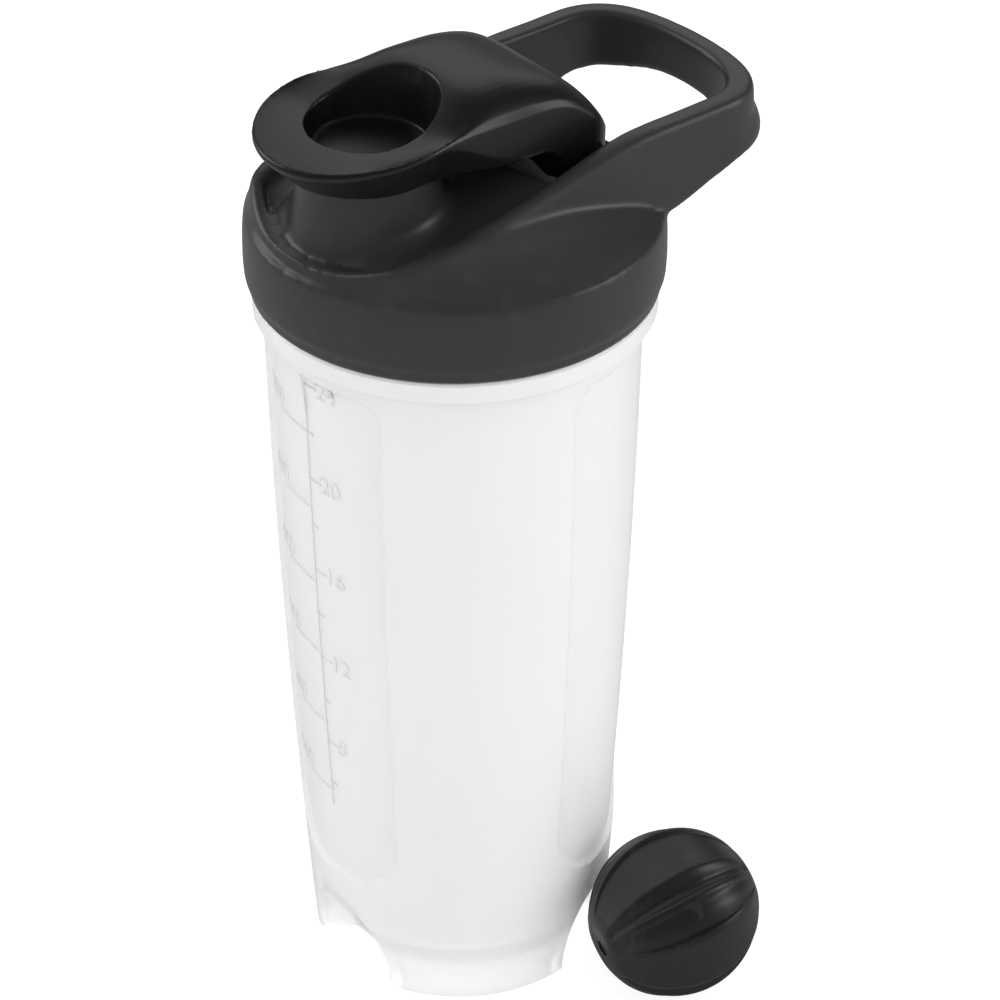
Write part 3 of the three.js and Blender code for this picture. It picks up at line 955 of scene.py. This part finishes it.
    def scale(self) -> bpy.types.Object:
        """The measuring scale on the front panel: a long line, ticks and numbers."""
        parts = [self.stroke(0.5, 122, 180, 112)]
        for step, ounces in enumerate((24, 20, 16, 12, 8)):
            z = 170.5 - 25 * step
            parts.append(self.stroke(4.2, 0.5, 180, z))
            parts.append(self.numeral(str(ounces), 185.3, z))
            parts.append(self.stroke(2.6, 0.45, 180, z - 12.5))
        for step in range(6):
            parts.append(self.stroke(13, 0.5, 162.5, 158 - 20.5 * step))
            parts.append(self.numeral(str(700 - 100 * step), 153.5, 161 - 20.5 * step))
        return Workshop.gather(parts)

    def build(self, bench: Bench) -> None:
        """Makes the cup and its scale."""
        glass = CUP_FINISH.make()
        bench.hand_over(self.shell(), "cup_shell", Body.CUP, glass, ["cup"], sharp=32)
        bench.hand_over(self.scale(), "cup_scale", Body.CUP, SCALE_FINISH.make(), sharp=50)


# ---- lid -------------------------------------------------------------------------------------------


@dataclass
class Lid:
    """The screw lid: a round skirt, a rim that sweeps back into two arms and a carry loop, and the spout."""

    edge: float = 182.2
    bore: float = 43.1
    radius: float = 47.3
    crease: float = 200.5
    crease_radius: float = 46.8
    ceiling: float = 197.6
    deck: float = 201.0
    deck_radius: float = 41.8
    rim_radius: float = 45.0
    arm_inner: float = 24.7
    arm_outer: float = 30.5
    loop_inner: float = 65.6
    loop_outer: float = 71.2
    boss: float = 4.3
    boss_face: float = 21.5
    grain: float = 0.62
    smoothing: int = 7
    spout: Spout = field(default_factory=Spout)
    hinge: Hinge = field(default_factory=Hinge)
    thread: Thread = field(default_factory=Thread)
    top: Knots = ((-45, 201.9), (-40, 204.4), (-33, 208.8), (-16, 211.4), (4, 215.7), (25, 220.3), (42, 220.9), (62, 221.5))
    foot: Knots = ((30, 198.6), (38, 198.8), (50, 202.9), (57, 206), (64, 207.2), (71, 208))
    foot_inner: Knots = ((30, 198.6), (42, 201.4), (52, 205.4), (58, 206.9), (63, 208), (65.6, 210))
    ridge: Knots = (
        (-45, 201),
        (-40, 204.6),
        (-33, 208.6),
        (-12, 211.3),
        (4, 210.6),
        (19, 207.2),
        (30, 203.2),
        (36, 198.6),
    )

    def track(self, front: float, half: float, end: float, corner: float) -> Track:
        """Half of the band's line, from the middle of the front to the middle of the loop's bar.

        Args:
            front: radius of the round front.
            half: distance of the straight arm from the middle.
            end: how far back the loop reaches.
            corner: length of the loop's bowed corner.

        Returns:
            The line.
        """
        leave = math.radians(214)
        on_circle = Vector((front * math.cos(leave), front * math.sin(leave)))
        along = Vector((-math.sin(leave), math.cos(leave)))
        pull = on_circle.x + along.x * (-half - on_circle.y) / along.y
        a, b, c = tuple(on_circle), (pull, -half), (pull + 9, -half)
        first = tuple(p + (q - p) * 2 / 3 for p, q in zip(a, b))
        second = tuple(p + (q - p) * 2 / 3 for p, q in zip(c, b))
        end_curve = bezier((end - corner, -half), (end - 0.29 * corner, -half), (end, -0.62 * half), (end, 0))
        return Track(arc((0, 0), front, 180, 214) + bezier(a, first, second, c)[1:] + end_curve)

    @property
    def inner(self) -> Track:
        """The band's inner line."""
        return self.track(self.deck_radius, self.arm_inner, self.loop_inner, 14)

    @property
    def outer(self) -> Track:
        """The band's outer line."""
        return self.track(self.rim_radius, self.arm_outer, self.loop_outer, 18)

    def band(self) -> bpy.types.Object:
        """The rim, both arms and the loop's bar as one soft-edged ribbon."""
        steps = 150
        half = list(zip(self.outer.even(steps), self.inner.even(steps)))
        flipped = [(Vector((o.x, -o.y)), Vector((i.x, -i.y))) for o, i in reversed(half[1:-1])]
        top, foot, foot_inner = smooth_line(self.top), smooth_line(self.foot), smooth_line(self.foot_inner)
        rings = []
        for out, inn in half + flipped:
            high, low = top(inn.x), foot(out.x)
            low_inner = max(foot_inner(inn.x), low)
            flare = 1.9 * ease(48, 66, out.x)
            bowl = 3.2 * (1 - ease(-6, 26, inn.x))
            roll = 1.6 * (1 - ease(-4, 34, inn.x)) * ease(-40, -20, inn.x)
            away = out - inn
            thick = away.length
            away.normalize()
            soft = min(1.3, thick * 0.3)

            def at(start: Vector, shift: float, z: float) -> Vector:
                return Vector((start.x + away.x * shift, start.y + away.y * shift, z))

            rings.append(
                [
                    at(out, flare - 1.4, low),
                    at(out, flare - 0.5, low + 0.5),
                    at(out, flare, low + 1.8),
                    at(out, flare, low + 3.4),
                    at(out, flare * 0.72, low + 5.2),
                    at(out, flare * 0.3, min(low + 6.8, high - soft - 1.4)),
                    at(out, flare * 0.12, min(low + 7.8, high - soft - 1.1)),
                    at(out, 0, high - soft - 0.7),
                    at(out, -soft * 0.25, high - soft * 0.55),
                    at(out, -soft * 0.9, high - 0.15),
                    at(out, -soft * 1.6, high),
                    at(inn, soft * 0.9 + roll, high),
                    at(inn, soft * 0.35 + roll * 0.45, high - 0.3 - roll * 0.35),
                    at(inn, roll * 0.1, high - 1.1 - roll * 1.1),
                    at(inn, 0, max(high - 2.4 - roll * 2, low_inner + 1.1)),
                    at(inn, -bowl * 0.12, max(low_inner + 1.0, self.deck + 3.4 if bowl > 0.1 else 0)),
                    at(inn, -bowl * 0.42, max(low_inner + 0.8, self.deck + 1.3 if bowl > 0.1 else 0)),
                    at(inn, soft * 0.3 - bowl, low_inner + (self.deck + 0.2 - low_inner) * min(bowl / 3.2, 1)),
                    at(inn, soft * 0.8 - bowl, low_inner),
                ]
            )
        return Workshop.skin(rings, loop=True)

    def bowl_height(self, x: float, across: float) -> float:
        """Height of the shallow floor between the rim, the arms and the spout.

        Args:
            x: place along the lid.
            across: place between the arms, from -1 to 1.

        Returns:
            The height.
        """
        left = 1 - ease(6, 15, x)
        rise = smooth_line(self.top)(x) - self.deck - 2.2 - 1.5 * (1 - across * across)
        return self.deck + max(rise, 0.0) * left

    def bowl(self) -> bpy.types.Object:
        """The floor that follows the rim and drops away to leave room for the hinge."""
        reach = self.deck_radius + 0.8
        rings = []
        for i in range(118):
            x = -42.4 + 0.5 * i
            half = min(math.sqrt(max(reach**2 - x * x, 1.0)), self.arm_inner + 0.8)
            low = [Vector((x, -half, 198.6)), Vector((x, half, 198.6))]
            parts = [1 - i / 20 for i in range(41)]
            rings.append(low + [Vector((x, part * half, self.bowl_height(x, part) - 0.1)) for part in parts])
        return Workshop.skin(rings)

    def spout_foot(self) -> bpy.types.Object:
        """The soft flare where the spout grows out of that floor."""
        s, reach = self.spout, self.deck_radius
        rings = []
        for lift, grow in ((-2.5, 3.4), (0.0, 3.2), (0.4, 2.3), (1.0, 1.5), (1.8, 0.8), (2.8, 0.3), (3.8, -0.3)):
            ring = []
            for i in range(120):
                angle = 2 * math.pi * i / 120
                x, y = s.x + 17.5 * math.cos(angle), 17.5 * math.sin(angle)
                half = min(math.sqrt(max(reach**2 - x * x, 1.0)), self.arm_inner)
                z = self.bowl_height(x, max(-1.0, min(1.0, y / half))) + lift
                cone = 16.0 + 2.2 * (1 - ease(self.deck, self.deck + 10, z)) + grow
                ring.append(Vector((s.x + cone * math.cos(angle), cone * math.sin(angle), z)))
            rings.append(ring)
        return Workshop.skin(rings)

    def shoulder(self, side: int) -> bpy.types.Object:
        """The sloping shoulder from one arm's outer face down to the edge of the skirt.

        Args:
            side: 1 for the +Y side as seen with the lines mirrored, -1 for the other.

        Returns:
            The shoulder.
        """
        outer, ridge = self.outer, smooth_line(self.ridge)
        stations = 110
        rings = []
        for i in range(stations + 1):
            share = 0.006 + 0.604 * i / stations
            here, along = outer.at(share), outer.along(share)
            outwards = Vector((along.y, -along.x))
            b = here.dot(outwards)
            reach = -b + math.sqrt(max(b * b - here.length_squared + self.crease_radius**2, 0.0))
            rise = ridge(here.x) - self.crease

            def step(distance: float, z: float) -> Vector:
                p = here + outwards * distance
                return Vector((p.x, side * p.y, z))

            slope = [(1.0, 0.0), (0.83, 0.1), (0.66, 0.23), (0.5, 0.39), (0.33, 0.58), (0.16, 0.8), (0.0, 1.0)]
            rings.append(
                [
                    step(-1.6, 198.0),
                    step(reach, 198.0),
                    *[step(reach * a, self.crease + rise * h) for a, h in slope],
                    step(-1.6, self.crease + rise + 0.4),
                ]
            )
        return Workshop.skin(rings)

    def skirt(self) -> bpy.types.Object:
        """The round skirt and the top plate, with the spout's hole through it."""
        outline = [
            (self.bore, self.edge),
            (45.5, self.edge),
            (46.1, self.edge + 0.3),
            (46.4, self.edge + 2.6),
            (46.7, self.edge + 3.3),
            (47.1, self.edge + 3.9),
            (self.radius, self.edge + 8),
            (self.radius - 0.1, self.edge + 14),
            (self.crease_radius + 0.15, self.crease - 1.4),
            (self.crease_radius - 0.3, self.crease - 0.3),
            (self.crease_radius - 1.6, self.deck),
            (0, self.deck),
            (0, self.ceiling),
            (self.bore - 1, self.ceiling),
            (self.bore, self.ceiling - 1),
        ]
        plate = Workshop.turned(outline, sides=300)
        hole = Workshop.turned([(0, 190), (self.spout.bore, 190), (self.spout.bore, 230), (0, 230)], 96, self.spout.x)
        return Workshop.cut(plate, hole)

    def spout_cone(self) -> bpy.types.Object:
        """The spout, flared at its foot and rolled at its lip."""
        s = self.spout
        outline = [
            (s.bore, self.ceiling),
            (21.5, self.ceiling + 2),
            (21.5, self.deck + 0.1),
            (20.2, self.deck + 0.5),
            (19.0, self.deck + 1.6),
            (18.1, self.deck + 3.2),
            (17.3, self.deck + 5.6),
            (16.6, self.deck + 8.4),
            (16.1, self.deck + 11.4),
            (15.7, self.deck + 14.4),
            (s.tip + 0.1, self.deck + 17),
            (s.tip, s.top - 1),
            (s.tip - 0.35, s.top - 0.3),
            (s.tip - 1.1, s.top),
            (s.bore + 1.0, s.top),
            (s.bore + 0.3, s.top - 0.4),
            (s.bore, s.top - 1.2),
        ]
        return Workshop.turned(outline, 160, s.x)

    def build(self, bench: Bench) -> None:
        """Makes the lid, the sealing ring and the hinge pin."""
        h = self.hinge
        parts = [self.skirt(), self.bowl(), self.spout_cone(), self.spout_foot(), self.band()]
        parts.append(self.thread.ridge(self.bore + 0.1, -1, math.pi))
        for side in (-1, 1):
            near, far = sorted((side * self.boss_face, side * 25.5))
            parts.append(self.shoulder(side))
            parts.append(Workshop.cross_rod(self.boss, (near, far), h.x, h.z))
            parts.append(Workshop.block((h.x - self.boss, near, self.ceiling + 1), (h.x + self.boss, far, h.z)))
        lid = Workshop.melt(Workshop.gather(parts), self.grain, self.smoothing)
        s = self.spout
        top = s.top
        bore = [(0, 190), (s.bore, 190), (s.bore, top - 1), (s.bore + 0.25, top - 0.3), (s.bore + 1, top + 1)]
        Workshop.cut(lid, Workshop.turned([*bore, (0, top + 1)], 128, s.x, closed=False))
        bench.hand_over(lid, "lid_shell", Body.LID, LID_FINISH.make(), ["lid"], sharp=60)
        pin = Workshop.cross_rod(h.pin, (-h.pin_half, h.pin_half), h.x, h.z, 48, soft=0.35)
        bench.hand_over(pin, "cap_hinge_pin", Body.LID, PIN_FINISH.make(), ["hinge_pin"], sharp=30)
        low, high = 195.8, self.ceiling - 0.3
        lips = [(38.9, low), (38.6, low + 0.4), (38.6, high - 0.4), (38.9, high)]
        outline = [*lips, (42.3, high), (42.6, high - 0.4), (42.6, low + 0.4), (42.3, low)]
        ring = Workshop.turned(outline, sides=240)
        bench.hand_over(ring, "lid_seal_ring", Body.RING, SEAL_FINISH.make(), ["lid_gasket"], sharp=50)


# ---- flip cap --------------------------------------------------------------------------------------


@dataclass
class FlipCap:
    """The hinged cap: a thin round lip with a finger well, deep sides, and a rounded tail on the pin."""

    disc_x: float = -25.0
    disc_radius: float = 23.4
    half_width: float = 20.9
    tail: float = 31.0
    underside: float = 220.2
    lip: float = 1.5
    skirt_radius: float = 17.6
    skirt_bore: float = 15.9
    ceiling: float = 222.0
    well_x: float = -22.8
    well_floor: float = 223.2
    well_height: float = 16.0
    well_top: float = 16.4
    well_bottom: float = 12.9
    shell_thickness: float = 2.2
    barrel: float = 5.0
    grain: float = 0.4
    smoothing: int = 4
    spout: Spout = field(default_factory=Spout)
    hinge: Hinge = field(default_factory=Hinge)
    edge: Knots = (
        (-49, 227.3),
        (-38, 229.4),
        (-30, 230.4),
        (-22, 231.1),
        (-12, 231),
        (-2, 230.4),
        (9, 230.2),
        (16, 228.8),
        (23, 224),
        (31, 216.5),
    )
    crown: Knots = ((-49, 0.2), (-36, -0.9), (-28, -1.6), (-20, -0.6), (-13, 2.6), (-6, 5.4), (2, 5.8), (14, 4.4))
    bottom: Knots = ((-14, 220.2), (-4, 219.6), (7, 219.4), (12, 218.2), (16, 212.5), (19, 208.5), (31, 208.5))

    def outline(self, steps: int = 110) -> list[Vector]:
        """The cap's edge from above, from its front tip round one side to the tail and back."""
        w, x, tail = self.half_width, self.disc_x, self.tail
        front = arc((x, 0), self.disc_radius, 180, 284)
        side = bezier(front[-1], (x + 12, -w - 0.7), (-8, -w), (2, -w))
        corner = bezier((tail - 9, -w), (tail - 3, -w), (tail, -w + 6), (tail, -w + 12))
        half = Track(front + side[1:] + corner + [(tail, 0)]).even(steps)
        return half + [Vector((p.x, -p.y)) for p in reversed(half[1:-1])]

    def form(self, inset: float) -> bpy.types.Object:
        """The cap's outside, or with an inset the hollow inside it.

        Args:
            inset: thickness to stay inside the outer skin.

        Returns:
            The solid.
        """
        outline = self.outline()
        edge, crown, bottom = (smooth_line(line) for line in (self.edge, self.crown, self.bottom))

        def spine(p: Vector) -> Vector:
            return Vector((min(max(p.x, self.disc_x), 14.0), 0.0))

        def front(p: Vector) -> float:
            return 1 - ease(-22, 4, p.x)

        def inwards(p: Vector, part: float) -> Vector:
            middle = spine(p)
            return p.lerp(middle, min(part + inset / (p - middle).length, 1.0))

        def ring(part: float, height: Callable[[Vector, Vector], float]) -> list[Vector]:
            made = []
            for p in outline:
                at = inwards(p, part)
                made.append(Vector((at.x, at.y, height(p, at))))
            return made

        def top(part: float) -> Callable[[Vector, Vector], float]:
            return lambda p, at: edge(at.x) - inset + crown(at.x) * (1 - (1 - part) ** 5)

        def under(p: Vector, at: Vector) -> float:
            share = front(p)
            return (bottom(at.x) + 0.6) * (1 - share) + (edge(at.x) - self.lip) * share

        low = []
        for p in outline:
            part = front(p) * (self.disc_radius - self.skirt_radius) / self.disc_radius
            at = inwards(p, part)
            low.append(Vector((at.x, at.y, bottom(at.x) - inset * 4)))
        rings = [low, ring(0.01, under), ring(0.0, lambda p, at: edge(at.x) - inset - 0.7)]
        rings.append(ring(0.02, lambda p, at: edge(at.x) - inset + 0.1))
        shares = [0.04, 0.07, 0.11, 0.16, 0.22, 0.3, 0.38, 0.47, 0.56, 0.67, 0.78, 0.89, 1.0]
        rings += [ring(part, top(part)) for part in shares]
        return Workshop.skin(rings, fan_last=False)

    def shell(self) -> bpy.types.Object:
        """The cap as one closed skin."""
        h, s = self.hinge, self.spout
        body = self.form(0)
        room = self.form(self.shell_thickness)
        sleeve = Workshop.turned([(0, 200), (self.skirt_radius, 200), (self.skirt_radius, 250), (0, 250)], 96, s.x)
        Workshop.cut(room, sleeve)
        Workshop.cut(room, Workshop.block((-14, -30, 200), (13, 30, 240)), Cut.KEEP_COMMON)
        Workshop.cut(body, room)
        Workshop.cut(body, Workshop.block((-60, -40, 190), (h.x, 40, 208)))
        w = self.half_width - 0.2
        Workshop.cut(body, Workshop.cross_rod(self.barrel, (-w, w), h.x, h.z), Cut.JOIN)
        z, end = self.well_floor, self.well_floor + self.well_height
        well = [(0, z), (self.well_bottom - 0.4, z), (self.well_bottom, z + 0.4), (self.well_top, end), (0, end)]
        Workshop.cut(body, Workshop.turned(well, 160, self.well_x, closed=False))
        seat = [(0, 200), (self.skirt_bore, 200), (self.skirt_bore, self.ceiling), (0, self.ceiling)]
        Workshop.cut(body, Workshop.turned(seat, 120, s.x, closed=False))
        body = Workshop.melt(body, self.grain, self.smoothing)
        return Workshop.cut(body, Workshop.cross_rod(h.pin + 0.15, (-30, 30), h.x, h.z, 32))

    def seal(self) -> bpy.types.Object:
        """The soft plug under the cap that closes the spout."""
        top, tip = self.ceiling - 0.3, self.spout.tip
        outline = [
            (0, top - 1.6),
            (7.9, top - 1.6),
            (8.3, top - 2.0),
            (8.7, 217.4),
            (9.2, 217.0),
            (9.7, 217.1),
            (10.4, 218.3),
            (11.1, 219.6),
            (11.3, top - 0.9),
            (tip - 0.7, top - 0.8),
            (tip - 0.4, top - 0.5),
            (tip - 0.4, top - 0.2),
            (tip - 0.7, top),
            (0, top),
        ]
        return Workshop.turned(outline, 128, self.spout.x, closed=False)

    def build(self, bench: Bench) -> None:
        """Makes the cap and its seal."""
        bench.hand_over(self.shell(), "flip_cap_shell", Body.CAP, CAP_FINISH.make(), ["flip_cap"], sharp=60)
        bench.hand_over(self.seal(), "spout_plug", Body.CAP, SEAL_FINISH.make(), ["spout_seal"], sharp=50)


# ---- mixing ball -----------------------------------------------------------------------------------


@dataclass
class MixingBall:
    """The loose ball: four fins from pole to pole, with a flat, a groove and a bulging lobe between them."""

    radius: float = 21.0
    axis: tuple[float, float, float] = (-0.957, 0.199, -0.209)
    turn: float = 100.4
    fins: int = 4
    pole_flat: float = 0.95

    def lobe(self, part: float) -> float:
        """Radius round one sector, as a part of the full radius.

        Args:
            part: place between one fin, 0, and the next, 1.

        Returns:
            A share of the radius.
        """
        sector = 2 * math.pi / self.fins
        flat = 0.965 * math.cos(sector / 4) / math.cos(min(part, 0.5) * sector - sector / 4)
        line = smooth_line(
            ((0.46, flat), (0.5, 0.945), (0.54, 0.92), (0.6, 0.868), (0.65, 0.9), (0.685, 0.955), (0.72, 0.962),
             (0.76, 0.94), (0.85, 0.958), (0.93, 0.95), (0.965, 0.945))
        )
        low = flat if part < 0.46 else line(part)
        fin = max(1 - ease(0.026, 0.044, part), ease(0.962, 0.978, part))
        return low + (1 - low) * fin

    def places(self) -> list[float]:
        """Places round one sector where the surface is sampled, close together at its edges."""
        made: list[float] = []
        for low, high, steps in (
            (0.0, 0.024, 3), (0.024, 0.048, 6), (0.048, 0.45, 18), (0.45, 0.56, 9), (0.56, 0.74, 16),
            (0.74, 0.955, 12), (0.955, 0.98, 6), (0.98, 1.0, 2),
        ):
            made += [low + (high - low) * i / steps for i in range(steps)]
        return made

    def rings(self) -> list[list[Vector]]:
        """The ball's surface as rings about its own axis, from one pole to the other."""
        sector = 2 * math.pi / self.fins
        around = [(-(k + part) * sector, part) for k in range(self.fins) for part in self.places()]
        flat = math.asin(self.pole_flat)
        tilts = [flat * math.sin(math.pi / 2 * i / 60) for i in range(-60, 61)]
        made = []
        for tilt in tilts:
            s = math.sin(tilt)
            radius = self.radius * math.cos(tilt)
            deep = ease(0.0, 0.1, self.pole_flat - abs(s))
            ring = []
            for angle, part in around:
                r = radius * (1 - deep * (1 - self.lobe(part)))
                ring.append(Vector((r * math.cos(angle), r * math.sin(angle), s * self.radius)))
            made.append(ring)
        return made

    def mark(self, side: int) -> bpy.types.Object:
        """A shallow round pip to press into the flat at one pole."""
        z = side * self.pole_flat * self.radius
        bpy.ops.object.select_all(action="DESELECT")
        bpy.ops.mesh.primitive_cylinder_add(vertices=48, radius=2.1, depth=0.8, location=(0, 0, z))
        return Workshop.settle(bpy.context.object)

    def build(self, bench: Bench) -> None:
        """Makes the ball, standing where its two halves stand."""
        corners = [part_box(node) for node in ("ball_half_a", "ball_half_b")]
        low = [min(c[0][i] for c in corners) for i in range(3)]
        high = [max(c[1][i] for c in corners) for i in range(3)]
        centre = (Vector([(a + b) / 2 for a, b in zip(low, high)]) - bench.axis) / MM
        ball = Workshop.skin(self.rings())
        for side in (-1, 1):
            Workshop.cut(ball, self.mark(side))
        Workshop.modify(ball, "BEVEL", width=0.35, segments=3, limit_method="ANGLE", angle_limit=0.6)
        pole = Vector(self.axis).normalized()
        tilt = Vector((0, 0, 1)).rotation_difference(pole)
        spin = Quaternion((0, 0, 1), math.radians(self.turn))
        turn = (tilt @ spin).to_matrix()
        Workshop.shape(ball, lambda p: turn @ p + centre)
        lowest = min(v.co.z for v in ball.data.vertices)
        Workshop.shape(ball, lambda p: Vector((p.x, p.y, p.z - lowest)))
        nodes = ["ball_half_a", "ball_half_b"]
        bench.hand_over(ball, "mixing_ball_shell", Body.BALL, BALL_FINISH.make(), nodes, sharp=60)


# ---- studio ----------------------------------------------------------------------------------------


@dataclass
class Studio:
    """The pale floor, the soft lights and the camera."""

    lens: float = 128.3
    eye: tuple[float, float, float] = (-0.4212, -0.5489, 0.5836)
    look: tuple[float, float, float] = (0.51597, 0.65262, -0.55484)
    floor_size: float = 12.0

    def camera(self, bench: Bench) -> None:
        """Places the camera."""
        data = bpy.data.cameras.new("camera")
        data.sensor_width, data.lens = 36.0, self.lens
        data.clip_end = 50.0
        camera = bpy.data.objects.new("camera", data)
        bpy.context.scene.collection.objects.link(camera)
        camera.location = Vector(self.eye) + bench.axis
        camera.rotation_euler = Vector(self.look).to_track_quat("-Z", "Y").to_euler()
        bpy.context.scene.camera = camera

    @staticmethod
    def by_ray(nodes: Nodes, seen: float, mirrored: float, lighting: float) -> bpy.types.NodeSocket:
        """A strength that differs between what is seen, what is mirrored and what lights the object.

        Args:
            nodes: where the nodes are added.
            seen: strength where it is looked at, directly or through clear plastic.
            mirrored: strength in a glossy reflection.
            lighting: strength as light on dull surfaces.

        Returns:
            The strength.
        """
        path = nodes.add("LightPath").outputs
        through = path["Is Transmission Ray"]
        looked = nodes.math("MAXIMUM", path["Is Camera Ray"], through)
        glossy = nodes.math("MULTIPLY", path["Is Glossy Ray"], nodes.math("SUBTRACT", 1.0, through))
        first = nodes.math("MULTIPLY_ADD", looked, seen - lighting, lighting)
        return nodes.math("MULTIPLY_ADD", glossy, mirrored - lighting, first)

    def floor(self) -> None:
        """Lays the floor."""
        bpy.ops.object.select_all(action="DESELECT")
        bpy.ops.mesh.primitive_plane_add(size=self.floor_size, location=(0, 0, 0))
        floor = Workshop.settle(bpy.context.object)
        floor.name = "floor"
        material = bpy.data.materials.new("floor_white")
        material.use_nodes = True
        nodes = Nodes(material.node_tree)
        shader = nodes.add(
            "BsdfPrincipled",
            {
                "Base Color": (0.22, 0.22, 0.22, 1.0),
                "Roughness": 0.9,
                "Specular IOR Level": 0.1,
                "Emission Color": (1.0, 1.0, 1.0, 1.0),
                "Emission Strength": self.by_ray(nodes, 0.88, 0.06, 1.0),
            },
        )
        nodes.add("OutputMaterial", {"Surface": shader.outputs[0]})
        floor.data.materials.append(material)

    def light(self, name: str, place: Sequence[float], size: Point, power: float, target: Sequence[float]) -> None:
        """Hangs one soft box.

        Args:
            name: its name.
            place: where it hangs, in metres.
            size: its width and height, in metres.
            power: its strength in watts.
            target: what it points at.
        """
        data = bpy.data.lights.new(name, "AREA")
        data.shape, data.size, data.size_y, data.energy = "RECTANGLE", *size, power
        lamp = bpy.data.objects.new(name, data)
        bpy.context.scene.collection.objects.link(lamp)
        lamp.location = place
        lamp.rotation_euler = (Vector(target) - Vector(place)).to_track_quat("-Z", "Y").to_euler()

    def world(self) -> None:
        """Fills the room with even light."""
        world = bpy.data.worlds.new("room")
        world.use_nodes = True
        nodes = Nodes(world.node_tree)
        strength = self.by_ray(nodes, 1.0, 0.1, 1.3)
        fill = nodes.add("Background", {"Color": (1.0, 1.0, 1.0, 1.0), "Strength": strength})
        nodes.add("OutputWorld", {"Surface": fill.outputs[0]})
        bpy.context.scene.world = world

    def build(self, bench: Bench) -> None:
        """Sets up the studio."""
        self.camera(bench)
        self.floor()
        self.world()
        middle = (0.0, 0.0, 0.12)
        self.light("key", (-0.6, 1.1, 0.7), (0.4, 0.9), 4.0, middle)
        self.light("top", (0.8, 1.0, 1.05), (1.5, 0.9), 3.0, (0.0, 0.0, 0.22))
        self.light("fill", (1.0, -0.9, 0.6), (0.5, 0.9), 5.0, middle)
        scene = bpy.context.scene
        scene.view_settings.view_transform = "Standard"
        scene.view_settings.look = "None"


def main() -> None:
    """Builds every sub-assembly and the studio, and logs each piece's triangle count."""
    logging.basicConfig(level=logging.INFO, format="%(name)s: %(message)s")
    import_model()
    bench = Bench.from_frame()
    for assembly in (Cup(), Lid(), FlipCap(), MixingBall(), Studio()):
        assembly.build(bench)


if __name__ == "__main__":
    main()
